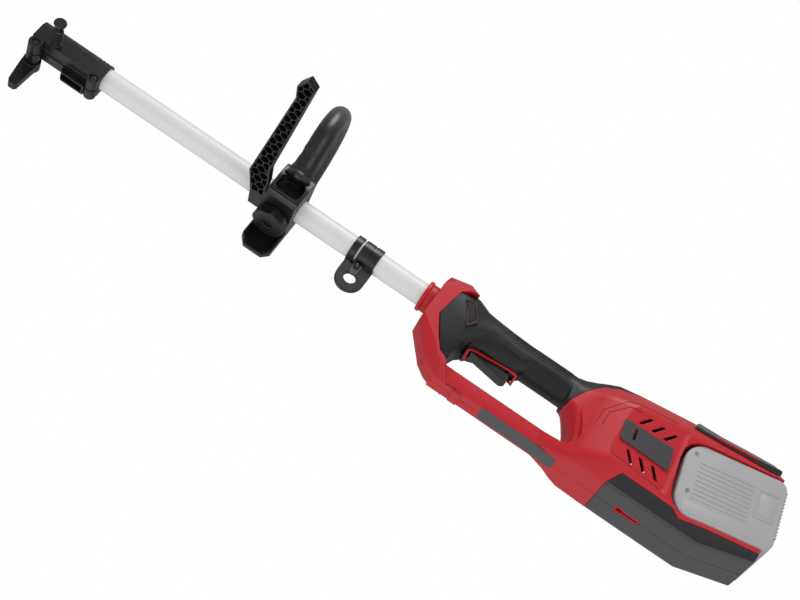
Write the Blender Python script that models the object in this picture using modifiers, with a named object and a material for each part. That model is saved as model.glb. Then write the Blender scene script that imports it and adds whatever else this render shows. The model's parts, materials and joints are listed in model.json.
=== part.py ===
"""Cordless brush cutter, power unit with loop handle, barrier bar and battery.

The tool is drawn with its shaft along X. X is 0 at the front face of the collar, where the
tube enters the housing, and grows towards the coupler. The tube's axis is Y = 0, Z = 0, the
trigger side is down, and +Y is the operator's left. Everything hangs on one empty, which
stands the finished tool on the origin.
"""
import bpy
import bmesh
from math import radians, sin, cos, asin, pi, hypot, sqrt
from mathutils import Vector, Matrix


def mm(*values):
    """Millimetres as metres: one number, or a tuple for a point."""
    metres = tuple(value * 0.001 for value in values)
    return metres[0] if len(metres) == 1 else metres


# Clearances
GAP = mm(0.3)                    # between pieces that touch
SLIDE_GAP = mm(0.5)              # between the battery and its pocket

# Shaft tube and drive line
TUBE_R = mm(13)
TUBE_WALL = mm(1.5)
TUBE_REAR = mm(-36)
TUBE_FRONT = mm(446)
SHAFT_R = mm(4)
BUSHING_LENGTH = mm(18)
BUSHING_CENTRES = [mm(120), mm(300)]
SOCKET_R = mm(8)
SOCKET_LENGTH = mm(24)
SOCKET_SQUARE = mm(7)
SOCKET_DEPTH = mm(16)

# Collar on the tube in front of the housing
COLLAR_FLANGE_R = mm(18)
COLLAR_NECK_R = mm(16.4)
COLLAR_FLANGE = mm(4)
COLLAR_LENGTH = mm(11.7)

# Housing
SIDE_HALF = mm(46.5)             # half width of the rear housing
WALL = mm(3)
UNDERSIDE = mm(-86)              # the flat that the tool stands on
HUB_HALF = mm(22)
HUB_CORE_HALF = mm(13)
ARM_TOP = mm(-64.9)              # guard arm under the hand opening
ARM_BOTTOM = mm(-83.8)
ARM_HALF = mm(14)
PANEL_DEPTH = mm(1.5)
PANEL_CHAMFER = mm(4.5)
NECK_HALF = mm(24)               # half width of the rounded neck behind the hand opening
NECK_BACK = mm(12)               # how far its wall draws back towards the sides
NECK_FLARE = 0.3                 # how much taller the opening gets towards the sides
OPENING_MIDDLE = mm(-48)
GRIP_HALF = mm(17.5)
GRIP_TOP = mm(21.8)
GRIP_BOTTOM = mm(-19.6)
CHEEK_HALF = mm(24)              # half width of the grip beside the hub
GRIP_WALL = mm(7)
GRIP_CELL = mm(24)               # length of a hollow between two ribs of the grip
ARM_HOLLOW = mm(46)              # length of each hollow in the guard arm

# Motor
MOTOR_FRONT = mm(-238)
STATOR_R = mm(27)
STATOR_LENGTH = mm(46)
ROTOR_R = mm(16)
FAN_R = mm(28)
FAN_WIDTH = mm(9)
FAN_BLADES = 11

# Battery, tilted rear end up
BATTERY_CENTRE = mm(-385.5, 0, -21.2)
BATTERY_TILT = radians(11.5)
BATTERY_LENGTH = mm(117)
BATTERY_HEIGHT = mm(88)
BATTERY_HALF = mm(45)
BATTERY_FRONT_R = mm(22)
BATTERY_REAR_R = mm(11)
BATTERY_WALL = mm(2.4)
POCKET_FRONT = mm(5)             # room in front of the battery
STRIP = mm(4)                    # red strip under the battery
TERMINALS = [mm(-10), mm(0), mm(10)]
TERMINAL_HALF = mm(15.7)
TERMINAL_RISE = mm(11)
TERMINAL_LENGTH = mm(15)
BLADE_HALF = mm(0.6)
BLADE_RISE = mm(6)
BLADE_REACH = mm(3)              # how far the blades enter the battery
WIRE_R = mm(2.2)
WIRE_Z = mm(-12)                 # the loom's run through the grip
WIRE_DROP_X = mm(-303)
WIRE_DROP_Y = mm(16)
CELL_R = mm(9.2)
CELL_LENGTH = mm(65)
CELL_ROWS = [3, 4, 3]
HOLDER_INNER = mm(18)            # the cells' holder: two plates between these distances
HOLDER_OUTER = mm(24)            # from the middle plane
HOLDER_DROP = mm(14)             # room that it leaves above the cells
SIDE_GROOVES = 7                 # grooves in each side of the battery
SIDE_GROOVE_HALF = mm(1.6)
SIDE_GROOVE_PITCH = mm(7)

# Trigger and lock button
TRIGGER_HALF = mm(8)
TRIGGER_PIVOT = mm(-81, 0, -23)
TRIGGER_PIN_R = mm(2)
SURROUND_HALF = mm(10.5)
BUTTON_FACE = mm(24.4)           # at the button's lower end, from where it leans inwards
BUTTON_LEAN = 0.06
BUTTON_BACK = mm(14)
BUTTON_TRAVEL = mm(3)

# Loop handle, centred on X = HANDLE_X
HANDLE_X = mm(180)
HANDLE_WIDTH = mm(38)            # along the tube
LINER_R = mm(15)
LOOP_R = mm(12)                  # half thickness of the loop's rod
LOOP_HALF = mm(52)               # from the tube to the middle of a branch
LOOP_RISE = mm(71)               # centre of the loop's arch above the tube
LOOP_LEAN = radians(3.5)
SADDLE_HALF = LINER_R + mm(2.6)
SADDLE_TOP = mm(-2)
FOOT_INNER = SADDLE_HALF + GAP
FOOT_OUTER = mm(33)
FOOT_BOTTOM = mm(-16)
LEG_BOTTOM = mm(-60)
SADDLE_BOTTOM = mm(-24)
BAR_SCREW_Y = [mm(0.5), mm(11.5)]
BAR_SCREW_Z = mm(-19.2)
BAR_SEAT = mm(6)                 # from the clamp's front face to the screw heads
BAR_SCREW_BITE = mm(9)
KNOB_R = mm(19.3)
KNOB_TOP = mm(-24.6)
KNOB_FACE = mm(-37.6)
KNOB_LOBES = 8

# Barrier bar, a flat moulding that reaches out to the left
BAR_TOP = mm(-14.6)
BAR_THICK = mm(8.9)
BAR_REACH = mm(234)
BAR_FLOOR = mm(1.6)
BAR_RIM = mm(1.8)
CELL_PITCH = mm(9.4)             # honeycomb cells
CELL_RIB = mm(1.3)

# Hanger clamp
HANGER_REAR = mm(59)
HANGER_FRONT = mm(92)
HANGER_WALL = mm(2.2)
EYE_X = mm(74)
EYE_Z = mm(-35.5)
EYE_R = mm(7.3)
EYE_PLATE_R = mm(16.6)
EYE_PLATE_HALF = mm(3)

# Coupler
COUPLER_REAR = mm(417)
COUPLER_FRONT = mm(506)
COUPLER_R = mm(16)
COUPLER_HALF = mm(16)
COUPLER_EDGE = mm(-15)
CLAMP_X = mm(498)
CLAMP_Z = mm(-20.5)
CLAMP_BOSS_R = mm(8)
REAR_SCREW_X = mm(424)
REAR_SCREW_Z = mm(-18)
WING_HUB_R = mm(10)
WING_HUB_LENGTH = mm(14)
WING_LENGTH = mm(40)
PIN_X = mm(479)
PIN_Z = mm(-10)
PIN_R = mm(2.8)
PIN_TIP = mm(7.5)
PIN_HEAD_R = mm(7.4)
PIN_HEAD_FACE = mm(57)
SPRING_R = mm(5.9)
SPRING_WIRE_R = mm(0.9)
SPRING_TURNS = 5

# Colours: red, green, blue, roughness, metallic
RED = ("red_plastic", (0.55, 0.02, 0.03), 0.4, 0.0)
BLACK = ("black_plastic", (0.03, 0.03, 0.035), 0.5, 0.0)
GRIP_BLACK = ("soft_grip", (0.02, 0.02, 0.023), 0.75, 0.0)
DARK_GREY = ("dark_grey_plastic", (0.06, 0.06, 0.07), 0.5, 0.0)
LIGHT_GREY = ("light_grey_plastic", (0.45, 0.45, 0.46), 0.5, 0.0)
SILVER = ("satin_tube", (0.8, 0.8, 0.8), 0.35, 1.0)
STEEL = ("steel", (0.55, 0.55, 0.57), 0.3, 1.0)
RUBBER = ("rubber", (0.02, 0.02, 0.02), 0.85, 0.0)
COPPER = ("copper_windings", (0.6, 0.27, 0.12), 0.4, 1.0)
GREEN = ("circuit_board", (0.03, 0.18, 0.08), 0.5, 0.0)
CELL_BLUE = ("cell_wrap", (0.05, 0.15, 0.35), 0.4, 0.0)

for leftover in list(bpy.data.objects):
    bpy.data.objects.remove(leftover)
PARTS = bpy.data.collections.new("brush_cutter")
CUTTERS = bpy.data.collections.new("cutters")
bpy.context.scene.collection.children.link(PARTS)
bpy.context.scene.collection.children.link(CUTTERS)
TOOL = bpy.data.objects.new("tool", None)
PARTS.objects.link(TOOL)


def material(finish):
    """The Principled material of a finish, made once."""
    name, colour, roughness, metallic = finish
    found = bpy.data.materials.get(name)
    if found:
        return found
    made = bpy.data.materials.new(name)
    made.use_nodes = True
    shader = made.node_tree.nodes["Principled BSDF"]
    shader.inputs["Base Color"].default_value = (*colour, 1)
    shader.inputs["Roughness"].default_value = roughness
    shader.inputs["Metallic"].default_value = metallic
    return made


def add_part(name, mesh, finish, origin=(0, 0, 0)):
    """Put a mesh, drawn in the tool's coordinates, into the tool with its origin moved."""
    mesh.name = name
    mesh.transform(Matrix.Translation(-Vector(origin)))
    mesh.shade_smooth()
    mesh.set_sharp_from_angle(angle=radians(32))
    part = bpy.data.objects.new(name, mesh)
    part.location = origin
    part.parent = TOOL
    part.data.materials.clear()
    part.data.materials.append(material(finish))
    PARTS.objects.link(part)
    return part


def boolean(part, mesh, operation):
    """Combine a part with a mesh that is drawn in the tool's coordinates."""
    guide = bpy.data.objects.new(part.name + "_" + operation.lower(), mesh)
    guide.parent = TOOL
    guide.hide_render = True
    guide.display_type = "WIRE"
    CUTTERS.objects.link(guide)
    step = part.modifiers.new(operation.title(), "BOOLEAN")
    step.operation = operation
    step.solver = "EXACT"
    step.object = guide
    return step


def cut(part, mesh):
    return boolean(part, mesh, "DIFFERENCE")


def join(part, mesh):
    return boolean(part, mesh, "UNION")


def keep(part, mesh):
    return boolean(part, mesh, "INTERSECT")


def mesh_from(bm):
    """A mesh from a bmesh, with its faces turned outwards."""
    bmesh.ops.recalc_face_normals(bm, faces=bm.faces)
    mesh = bpy.data.meshes.new("shape")
    bm.to_mesh(mesh)
    bm.free()
    return mesh


def block(low, high, bevel=0):
    """A box between two corners, with its edges bevelled if asked."""
    bm = bmesh.new()
    bmesh.ops.create_cube(bm, size=1)
    size = Vector(high) - Vector(low)
    bmesh.ops.scale(bm, vec=size, verts=bm.verts)
    bmesh.ops.translate(bm, vec=(Vector(high) + Vector(low)) / 2, verts=bm.verts)
    if bevel:
        bmesh.ops.bevel(bm, geom=bm.edges, offset=bevel, segments=2, profile=0.5,
                        affect="EDGES", material=-1, clamp_overlap=True)
    return mesh_from(bm)


def rod(radius, start, end, sides=24, end_radius=None):
    """A cylinder or cone between two points."""
    start, end = Vector(start), Vector(end)
    bm = bmesh.new()
    bmesh.ops.create_cone(bm, cap_ends=True, segments=sides, radius1=radius,
                          radius2=radius if end_radius is None else end_radius,
                          depth=(end - start).length)
    turn = (end - start).to_track_quat("Z", "Y").to_matrix().to_4x4()
    half_step = Matrix.Rotation(pi / sides, 4, "Z")
    place = Matrix.Translation((start + end) / 2) @ turn @ half_step
    bmesh.ops.transform(bm, matrix=place, verts=bm.verts)
    return mesh_from(bm)


def turned(name, profile, finish, base, facing, steps=32, closed=False):
    """A turned piece: radii and heights from its top down the outer side, spun about facing."""
    mesh = bpy.data.meshes.new(name)
    points = [(radius, 0, height) for radius, height in profile]
    edges = [(i, i + 1) for i in range(len(points) - 1)]
    if closed:
        edges.append((len(points) - 1, 0))
    mesh.from_pydata(points, edges, [])
    part = add_part(name, mesh, finish)
    part.location = base
    part.rotation_mode = "QUATERNION"
    part.rotation_quaternion = Vector(facing).to_track_quat("Z", "Y")
    spin = part.modifiers.new("Turn", "SCREW")
    spin.axis = "Z"
    spin.angle = 2 * pi
    spin.steps = steps
    spin.render_steps = steps
    spin.use_merge_vertices = True
    spin.merge_threshold = 0.00001
    spin.use_smooth_shade = True
    return part


def ring_profile(inner, outer, low, high):
    """The closed profile of a plain ring."""
    return [(outer, high), (outer, low), (inner, low), (inner, high)]


def rounded(points, radius, steps=3):
    """A closed outline with each corner drawn as a curve; radius may be a list."""
    radii = radius if isinstance(radius, (list, tuple)) else [radius] * len(points)
    result = []
    for i, corner in enumerate(points):
        corner = Vector(corner)
        before = Vector(points[i - 1]) - corner
        after = Vector(points[(i + 1) % len(points)]) - corner
        if radii[i] <= 0:
            result.append(tuple(corner))
            continue
        reach = min(radii[i], before.length * 0.48, after.length * 0.48)
        first = corner + before.normalized() * reach
        last = corner + after.normalized() * reach
        for k in range(steps + 1):
            t = k / steps
            result.append(tuple(first * (1 - t) ** 2 + corner * 2 * t * (1 - t) + last * t ** 2))
    return result


def grown(points, distance):
    """A closed outline moved outwards by a distance, or inwards if it is negative."""
    count = len(points)
    area = sum(points[i - 1][0] * points[i][1] - points[i][0] * points[i - 1][1]
               for i in range(count))
    side = distance if area > 0 else -distance
    result = []
    for i in range(count):
        here = Vector(points[i])
        into = (here - Vector(points[i - 1])).normalized()
        out = (Vector(points[(i + 1) % count]) - here).normalized()
        normal = Vector((into.y + out.y, -into.x - out.x)).normalized()
        stretch = max(0.35, normal.dot(Vector((into.y, -into.x))))
        result.append(tuple(here + normal * side / stretch))
    return result


# For each plane, how a flat outline's own axes lie in the tool: across, up and out
PLANES = {
    "XZ": Matrix(((1, 0, 0), (0, 0, -1), (0, 1, 0))).to_4x4(),
    "XY": Matrix.Identity(4),
    "YZ": Matrix(((0, 0, 1), (1, 0, 0), (0, 1, 0))).to_4x4(),
}


def slab(points, plane, low, high):
    """A flat outline in a plane, drawn out between two values of the third axis."""
    curve = bpy.data.curves.new("outline", "CURVE")
    curve.dimensions = "2D"
    curve.fill_mode = "BOTH"
    curve.extrude = (high - low) / 2
    spline = curve.splines.new("POLY")
    spline.points.add(len(points) - 1)
    for point, (across, up) in zip(spline.points, points):
        point.co = (across, up, 0, 1)
    spline.use_cyclic_u = True
    drawn = bpy.data.objects.new("outline", curve)
    CUTTERS.objects.link(drawn)
    bpy.context.view_layer.update()
    solid = bpy.data.meshes.new_from_object(drawn.evaluated_get(
        bpy.context.evaluated_depsgraph_get()))
    bpy.data.objects.remove(drawn)
    bm = bmesh.new()
    bm.from_mesh(solid)
    bmesh.ops.remove_doubles(bm, verts=bm.verts, dist=1e-6)
    out = {"XZ": (0, 1, 0), "XY": (0, 0, 1), "YZ": (1, 0, 0)}[plane]
    middle = Matrix.Translation(Vector(out) * (low + high) / 2)
    bmesh.ops.transform(bm, matrix=middle @ PLANES[plane], verts=bm.verts)
    return mesh_from(bm)


def loft(rings):
    """A closed body through rings of points, all with as many points in the same order.

    Where the wall between two rings is warped, each of its fields is split the same way."""
    bm = bmesh.new()
    loops = [[bm.verts.new(point) for point in ring] for ring in rings]
    for first, second in zip(loops, loops[1:]):
        for i in range(len(first)):
            a, b, c, d = first[i - 1], first[i], second[i], second[i - 1]
            facing = (b.co - a.co).cross(c.co - a.co).normalized()
            if abs(facing.dot(d.co - a.co)) < mm(0.001):
                bm.faces.new((a, b, c, d))
            else:
                bm.faces.new((a, b, c))
                bm.faces.new((a, c, d))
    bm.faces.new(loops[0])
    bm.faces.new(loops[-1])
    return mesh_from(bm)


def half_space(side):
    """A large block on one side of the middle plane, half a gap away from it."""
    reach = mm(700)
    near, far = sorted((side * GAP / 2, side * reach))
    return block((-reach, near, -reach), (reach, far, reach))


# Stations of the rear housing: x, lean of the section, bottom, its half width, lower edge of
# the side, half width, upper edge of the side, half width of the top, top
BODY_STATIONS = [
    (mm(-186), 0, mm(-84), mm(12), mm(-70), mm(18), mm(5), mm(8), mm(20.3)),
    (mm(-197), 0, mm(-84.8), mm(17.5), mm(-70.5), mm(20.5), mm(5), mm(9.5), mm(22.3)),
    (mm(-208), 0, mm(-85.4), mm(21.5), mm(-71), mm(24.5), mm(6), mm(11.6), mm(26.6)),
    (mm(-220), 0, mm(-85.8), mm(29.8), mm(-71.5), mm(31), mm(6), mm(14.5), mm(32)),
    (mm(-230), 0, UNDERSIDE, mm(34), mm(-72), mm(38), mm(6), mm(17), mm(35.5)),
    (mm(-256), 0, UNDERSIDE, mm(34), mm(-72), SIDE_HALF, mm(10), mm(18), mm(39.8)),
    (mm(-316), 0, UNDERSIDE, mm(34), mm(-72), SIDE_HALF, mm(19), mm(20), mm(47.4)),
    (mm(-350), 0, UNDERSIDE, mm(34), mm(-70), SIDE_HALF, mm(22.7), mm(20), mm(48)),
    (mm(-380), 0, UNDERSIDE, mm(34), mm(-68), SIDE_HALF, mm(26), mm(20), mm(50.5)),
    (mm(-441), 0.14, mm(-66.5), mm(34), mm(-55.5), SIDE_HALF, mm(32), mm(20), mm(52.5)),
]
GRIP_STATIONS = 6                # as many stations at the front also shape the grip's tongue


def body_ring(station, inset=0, corner=mm(6)):
    """One eight-cornered section of the rear housing, with rounded corners."""
    x, lean, bottom, bottom_half, low, half, high, top_half, top = station
    corners = [(bottom_half, bottom), (half, low), (half, high), (top_half, top)]
    corners += [(-across, up) for across, up in reversed(corners)]
    if inset:
        corners = grown(corners, -inset)
    outline = rounded(corners, corner, 2)
    return [(x + lean * (up - bottom), across, up) for across, up in outline]


def body_loft(inset=0):
    return loft([body_ring(station, inset) for station in BODY_STATIONS])


def tilted(points):
    """Outline points from the battery's own axes to the tool's X and Z."""
    centre = Vector((BATTERY_CENTRE[0], BATTERY_CENTRE[2]))
    along = Vector((cos(BATTERY_TILT), -sin(BATTERY_TILT)))
    up = Vector((sin(BATTERY_TILT), cos(BATTERY_TILT)))
    return [tuple(centre + along * x + up * z) for x, z in points]


def battery_outline(extra_front=0, extra=0, rear_reach=0, steps=4):
    """The battery's outline in its own axes, rear end first, counter-clockwise."""
    rear = -BATTERY_LENGTH / 2 - rear_reach
    front = BATTERY_LENGTH / 2 + extra_front
    half = BATTERY_HEIGHT / 2 + extra
    corners = [(rear, -half), (front, -half), (front, half), (rear, half)]
    front_r = BATTERY_FRONT_R + extra_front
    return rounded(corners, [BATTERY_REAR_R, front_r, front_r, BATTERY_REAR_R], steps)


# Side view of the grip: the black moulding lies inside this outline
GRIP_REGION = [mm(*point) for point in [
    (-61.2, -46), (-60.9, -64), (-50, -59), (-40, -44.6), (-27, -21), (-33.3, 17.3), (-44, 25.5),
    (-51, 26), (-54, 60), (-264, 60), (-256, 36.5), (-215, 19.5), (-199, -3),
    (-190.5, -21.5), (-189, -28), (-156, -28), (-140, -45), (-76, -45), (-72, -28.5),
    (-66, -33.5)]]

# Side view of the opening for the hand: its rounded rear wall, in the middle plane, and the rest
OPENING_WALL = [mm(*point) for point in [
    (-203, -64.9), (-207.6, -62), (-210, -58), (-208, -50), (-204, -42), (-198, -32.5),
    (-192, -24.3), (-186, -20.8), (-176, -20)]]
OPENING_REST = [mm(*point) for point in [(-150, -20), (-150, -64.9)]]


def hand_opening():
    """Cutter for the hand opening: towards both sides it widens backwards, up and down."""
    rings = []
    for across in (-1.3, -1, -0.9, -0.7, -0.4, 0, 0.4, 0.7, 0.9, 1, 1.3):
        spread = min(1, across * across)
        back = NECK_BACK * (1 - sqrt(1 - spread))
        outline = [(x - back, z) for x, z in OPENING_WALL] + OPENING_REST
        rings.append([(x, across * NECK_HALF, z + (z - OPENING_MIDDLE) * NECK_FLARE * spread)
                      for x, z in outline])
    return loft(rings)


# Side view of the bottom cover's upper edge, closed below the tool
COVER_FRONT = mm(-258)
COVER_EDGE = mm(-73.2)
TRAY_HALF = mm(31)


def cover_region(spare=0):
    """Side view of the space of the bottom cover; spare grows it upwards."""
    strip_bottom = BATTERY_HEIGHT / 2 + SLIDE_GAP + STRIP
    front, rear = tilted([(BATTERY_LENGTH / 2 - mm(12), -strip_bottom),
                          (-BATTERY_LENGTH / 2 - mm(30), -strip_bottom)])
    outline = [(COVER_FRONT, mm(-100)), (COVER_FRONT - mm(19), COVER_EDGE),
               (mm(-339), COVER_EDGE), front, rear, (mm(-480), mm(-100))]
    return grown(outline, spare) if spare else outline


def hub():
    """The red hub round the tube: side outlines lofted from one side to the other."""
    core = [(-12.5, 24), (-14.5, 31.5), (-38, 37.4), (-50, 32.7), (-58, 29), (-60, -22),
            (-62, -68), (-75, -68.5), (-75, -83.5), (-62, -83), (-50, -78.4), (-38, -69.4),
            (-12.5, -37.5)]
    side = [(-12.5, 13), (-22, 24), (-40, 27), (-50, 26), (-58, 24), (-60, -22),
            (-61, -66), (-62, -69), (-62, -72), (-58, -70.5), (-50, -65), (-33, -47),
            (-12.5, -30)]
    rings = []
    for across, outline in ((-HUB_HALF, side), (-HUB_CORE_HALF, core),
                            (HUB_CORE_HALF, core), (HUB_HALF, side)):
        rings.append([(mm(x), across, mm(z)) for x, z in outline])
    return loft(rings)


def arm():
    """The guard arm under the hand opening, and the foot that it stands on."""
    rings = []
    for x, half, top in ((mm(-57), ARM_HALF + mm(6), ARM_TOP - mm(3.6)),
                         (mm(-75), ARM_HALF + mm(1.5), ARM_TOP - mm(0.9)),
                         (mm(-100), ARM_HALF, ARM_TOP), (mm(-190), ARM_HALF, ARM_TOP),
                         (mm(-216), ARM_HALF + mm(3), ARM_TOP)):
        low = ARM_HALF - mm(1)
        section = [(low, ARM_BOTTOM), (half, ARM_BOTTOM + mm(8)), (half, top)]
        section += [(-across, up) for across, up in reversed(section)]
        corners = rounded(section, [mm(1.2), mm(1), mm(1.5)] * 2, 2)
        rings.append([(x, across, up) for across, up in corners])
    beam = loft(rings)
    foot = slab([(mm(-97), ARM_BOTTOM + mm(1)), (mm(-94), UNDERSIDE), (mm(-85), UNDERSIDE),
                 (mm(-82), ARM_BOTTOM + mm(1))], "XZ", -ARM_HALF + mm(3), ARM_HALF - mm(3))
    return beam, foot


VENT_PITCH = mm(15.2)
VENT_COUNT = 3
VENT_WIDTH = mm(4.2)
PANEL = [mm(*point) for point in [
    (-230, -14), (-249, 0.5), (-313, 12), (-321, -64), (-257, -60)]]
PLATE = [mm(*point) for point in [
    (-250.5, -15.8), (-309.5, -14), (-316, -41), (-255, -39.5)]]
PLATE_THICK = mm(1.8)
PLATE_SLOT = [mm(*point) for point in [(-264.5, -19.5), (-268, -19.5), (-270.5, -33), (-267, -33)]]


def vent_slots():
    """Side views of the vent slots above and below the plate."""
    slots = []
    for row in ([(-266, -9.7), (-275, 3)], [(-269, -45), (-279.5, -58.5)]):
        (x0, z0), (x1, z1) = row
        for k in range(VENT_COUNT):
            shift = -k * VENT_PITCH
            start = Vector(mm(x0, z0)) + Vector((shift, 0))
            end = Vector(mm(x1, z1)) + Vector((shift, 0))
            wide = Vector((VENT_WIDTH / 2, 0))
            slots.append([tuple(start + wide), tuple(end + wide),
                          tuple(end - wide), tuple(start - wide)])
    return slots


HOUSING_SCREWS = [mm(*point) for point in [
    (-20, 20), (-48, -68), (-122, -75.3), (-196, -75.3), (-212, -29)]]
SCREW_R = mm(1.7)
SCREW_HEAD_R = mm(3.2)
SCREW_HEAD_DEPTH = mm(9)
SCREW_REACH = mm(9)


def motor_room():
    """The hollow behind the grip that holds motor and fan, open to the vents."""
    floor = mm(-68.6)
    stations = [
        (mm(-231), 0, floor, mm(20), mm(-60), mm(34), mm(3), mm(14), mm(30)),
        (mm(-256), 0, floor, mm(33), mm(-64), mm(42), mm(8), mm(14), mm(33)),
        (mm(-308), 0, floor, mm(33), mm(-64), SIDE_HALF - WALL, mm(17), mm(17), mm(41))]
    return loft([body_ring(station) for station in stations])


def battery_place(mesh):
    """Move a mesh from the battery's own axes into the tool."""
    mesh.transform(Matrix.Translation(BATTERY_CENTRE) @ Matrix.Rotation(BATTERY_TILT, 4, "Y"))
    return mesh


def terminal_body(spare=0, reach=0):
    """The terminal block in front of the battery, or the window that it sits in."""
    rear = BATTERY_LENGTH / 2 + POCKET_FRONT
    return battery_place(block(
        (rear - reach, -TERMINAL_HALF - spare, -TERMINAL_RISE - spare),
        (rear + TERMINAL_LENGTH + reach, TERMINAL_HALF + spare, TERMINAL_RISE + spare)))


# Stations of the hollow between the battery and the housing's top
ROOF_STATIONS = [
    (mm(-312), 0, mm(13), mm(36), mm(15), mm(42), mm(17.6), mm(17), mm(42.5)),
    (mm(-420), 0, mm(34.7), mm(28), mm(35.2), mm(34), mm(36), mm(17), mm(47.5))]


def housing(side, name):
    """One half of the red housing: hub, guard arm and hollow rear housing."""
    shell = add_part(name, body_loft(), RED)
    cut(shell, hand_opening())
    join(shell, hub())
    for mesh in arm():
        join(shell, mesh)
    cut(shell, slab(cover_region(GAP), "XZ", mm(-90), mm(90)))
    cut(shell, slab(grown(GRIP_REGION, GAP), "XZ", mm(-80), mm(80)))
    pocket = tilted(battery_outline(POCKET_FRONT, SLIDE_GAP, mm(60)))
    cut(shell, slab(pocket, "XZ", mm(-80), mm(80)))
    cut(shell, motor_room())
    rings = []
    for depth, spare in ((PANEL_DEPTH, 0), (0, PANEL_CHAMFER), (-WALL, PANEL_CHAMFER)):
        outline = rounded(grown(PANEL, spare), mm(4))
        rings.append([(x, side * (SIDE_HALF - depth), z) for x, z in outline])
    cut(shell, loft(rings))
    low, high = sorted((side * mm(36), side * mm(60)))
    for slot in vent_slots():
        cut(shell, slab(slot, "XZ", low, high))
    if side > 0:
        cut(shell, slab(PLATE_SLOT, "XZ", low, high))
    cut(shell, rod(TUBE_R + GAP, (mm(-5), 0, 0), (mm(-60), 0, 0), 32))
    cut(shell, rod(mm(9), (mm(-190), 0, 0), (mm(-232), 0, 0), 20))
    cut(shell, rod(WIRE_R + mm(1), (mm(-150), 0, WIRE_Z), (mm(-240), 0, WIRE_Z), 12))
    cut(shell, block((mm(-240), -WIRE_R - mm(1), mm(-56)), (mm(-221), WIRE_R + mm(1), mm(-12))))
    cut(shell, rod(WIRE_R + mm(3.2), (WIRE_DROP_X, WIRE_DROP_Y, mm(-60)),
                   (WIRE_DROP_X, WIRE_DROP_Y, mm(-78)), 12))
    cut(shell, terminal_body(GAP, mm(12)))
    cut(shell, loft([body_ring(station, 0, mm(1)) for station in ROOF_STATIONS]))
    for rear in (mm(-178), mm(-112)):
        cut(shell, block((rear, -ARM_HALF + WALL, ARM_BOTTOM + WALL),
                         (rear + ARM_HOLLOW, ARM_HALF - WALL, ARM_TOP - WALL)))
    for x, z in HOUSING_SCREWS:
        inner = (x, SCREW_REACH + GAP, z)
        cut(shell, rod(SCREW_R + GAP, (x, -mm(30), z), inner, 12))
        if side < 0:
            cut(shell, rod(SCREW_HEAD_R + GAP, (x, -mm(60), z), (x, -SCREW_HEAD_DEPTH, z), 16))
    keep(shell, half_space(side))
    return shell


def bottom_cover(side, name):
    """One half of the black cover under the housing, hollow above its floor."""
    cover = add_part(name, body_loft(), DARK_GREY)
    keep(cover, slab(cover_region(), "XZ", mm(-80), mm(80)))
    tray = [(mm(-282), mm(-66)), (mm(-282), UNDERSIDE + WALL), (mm(-346), UNDERSIDE + WALL),
            (mm(-346), mm(-66))]
    cut(cover, slab(tray, "XZ", -TRAY_HALF, TRAY_HALF))
    seat = keyhole(KEYHOLE_R + KEYHOLE_RIM + GAP, KEYHOLE_SLOT + KEYHOLE_RIM + GAP)
    cut(cover, slab(seat, "XY", UNDERSIDE - mm(5), mm(-60)))
    keep(cover, half_space(side))
    return cover


KEYHOLE_X = mm(-298)
KEYHOLE_LENGTH = mm(21)          # between the centres of its two ends
KEYHOLE_R = mm(4.3)              # eye of the keyhole slot
KEYHOLE_SLOT = mm(2)             # half width of its slot
KEYHOLE_RIM = mm(1.8)


def keyhole(eye_r, slot_r):
    """A keyhole outline under the tool: a round eye at the front and a slot behind it."""
    outline = []
    meet = asin(slot_r / eye_r)
    for k in range(13):
        angle = -pi + meet + (2 * pi - 2 * meet) * k / 12
        outline.append((KEYHOLE_X + eye_r * cos(angle), eye_r * sin(angle)))
    end = KEYHOLE_X - KEYHOLE_LENGTH
    for k in range(7):
        angle = pi / 2 + pi * k / 6
        outline.append((end + slot_r * cos(angle), slot_r * sin(angle)))
    return outline


def keyhole_rim():
    """Red insert round the hanging slot, set into the bottom cover."""
    outer = keyhole(KEYHOLE_R + KEYHOLE_RIM, KEYHOLE_SLOT + KEYHOLE_RIM)
    inner = keyhole(KEYHOLE_R, KEYHOLE_SLOT)
    rim = add_part("keyhole_rim", slab(outer, "XY", UNDERSIDE + mm(0.2), UNDERSIDE + mm(7)), RED)
    cut(rim, slab(inner, "XY", UNDERSIDE - mm(1), UNDERSIDE + mm(9)))
    return rim


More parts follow.
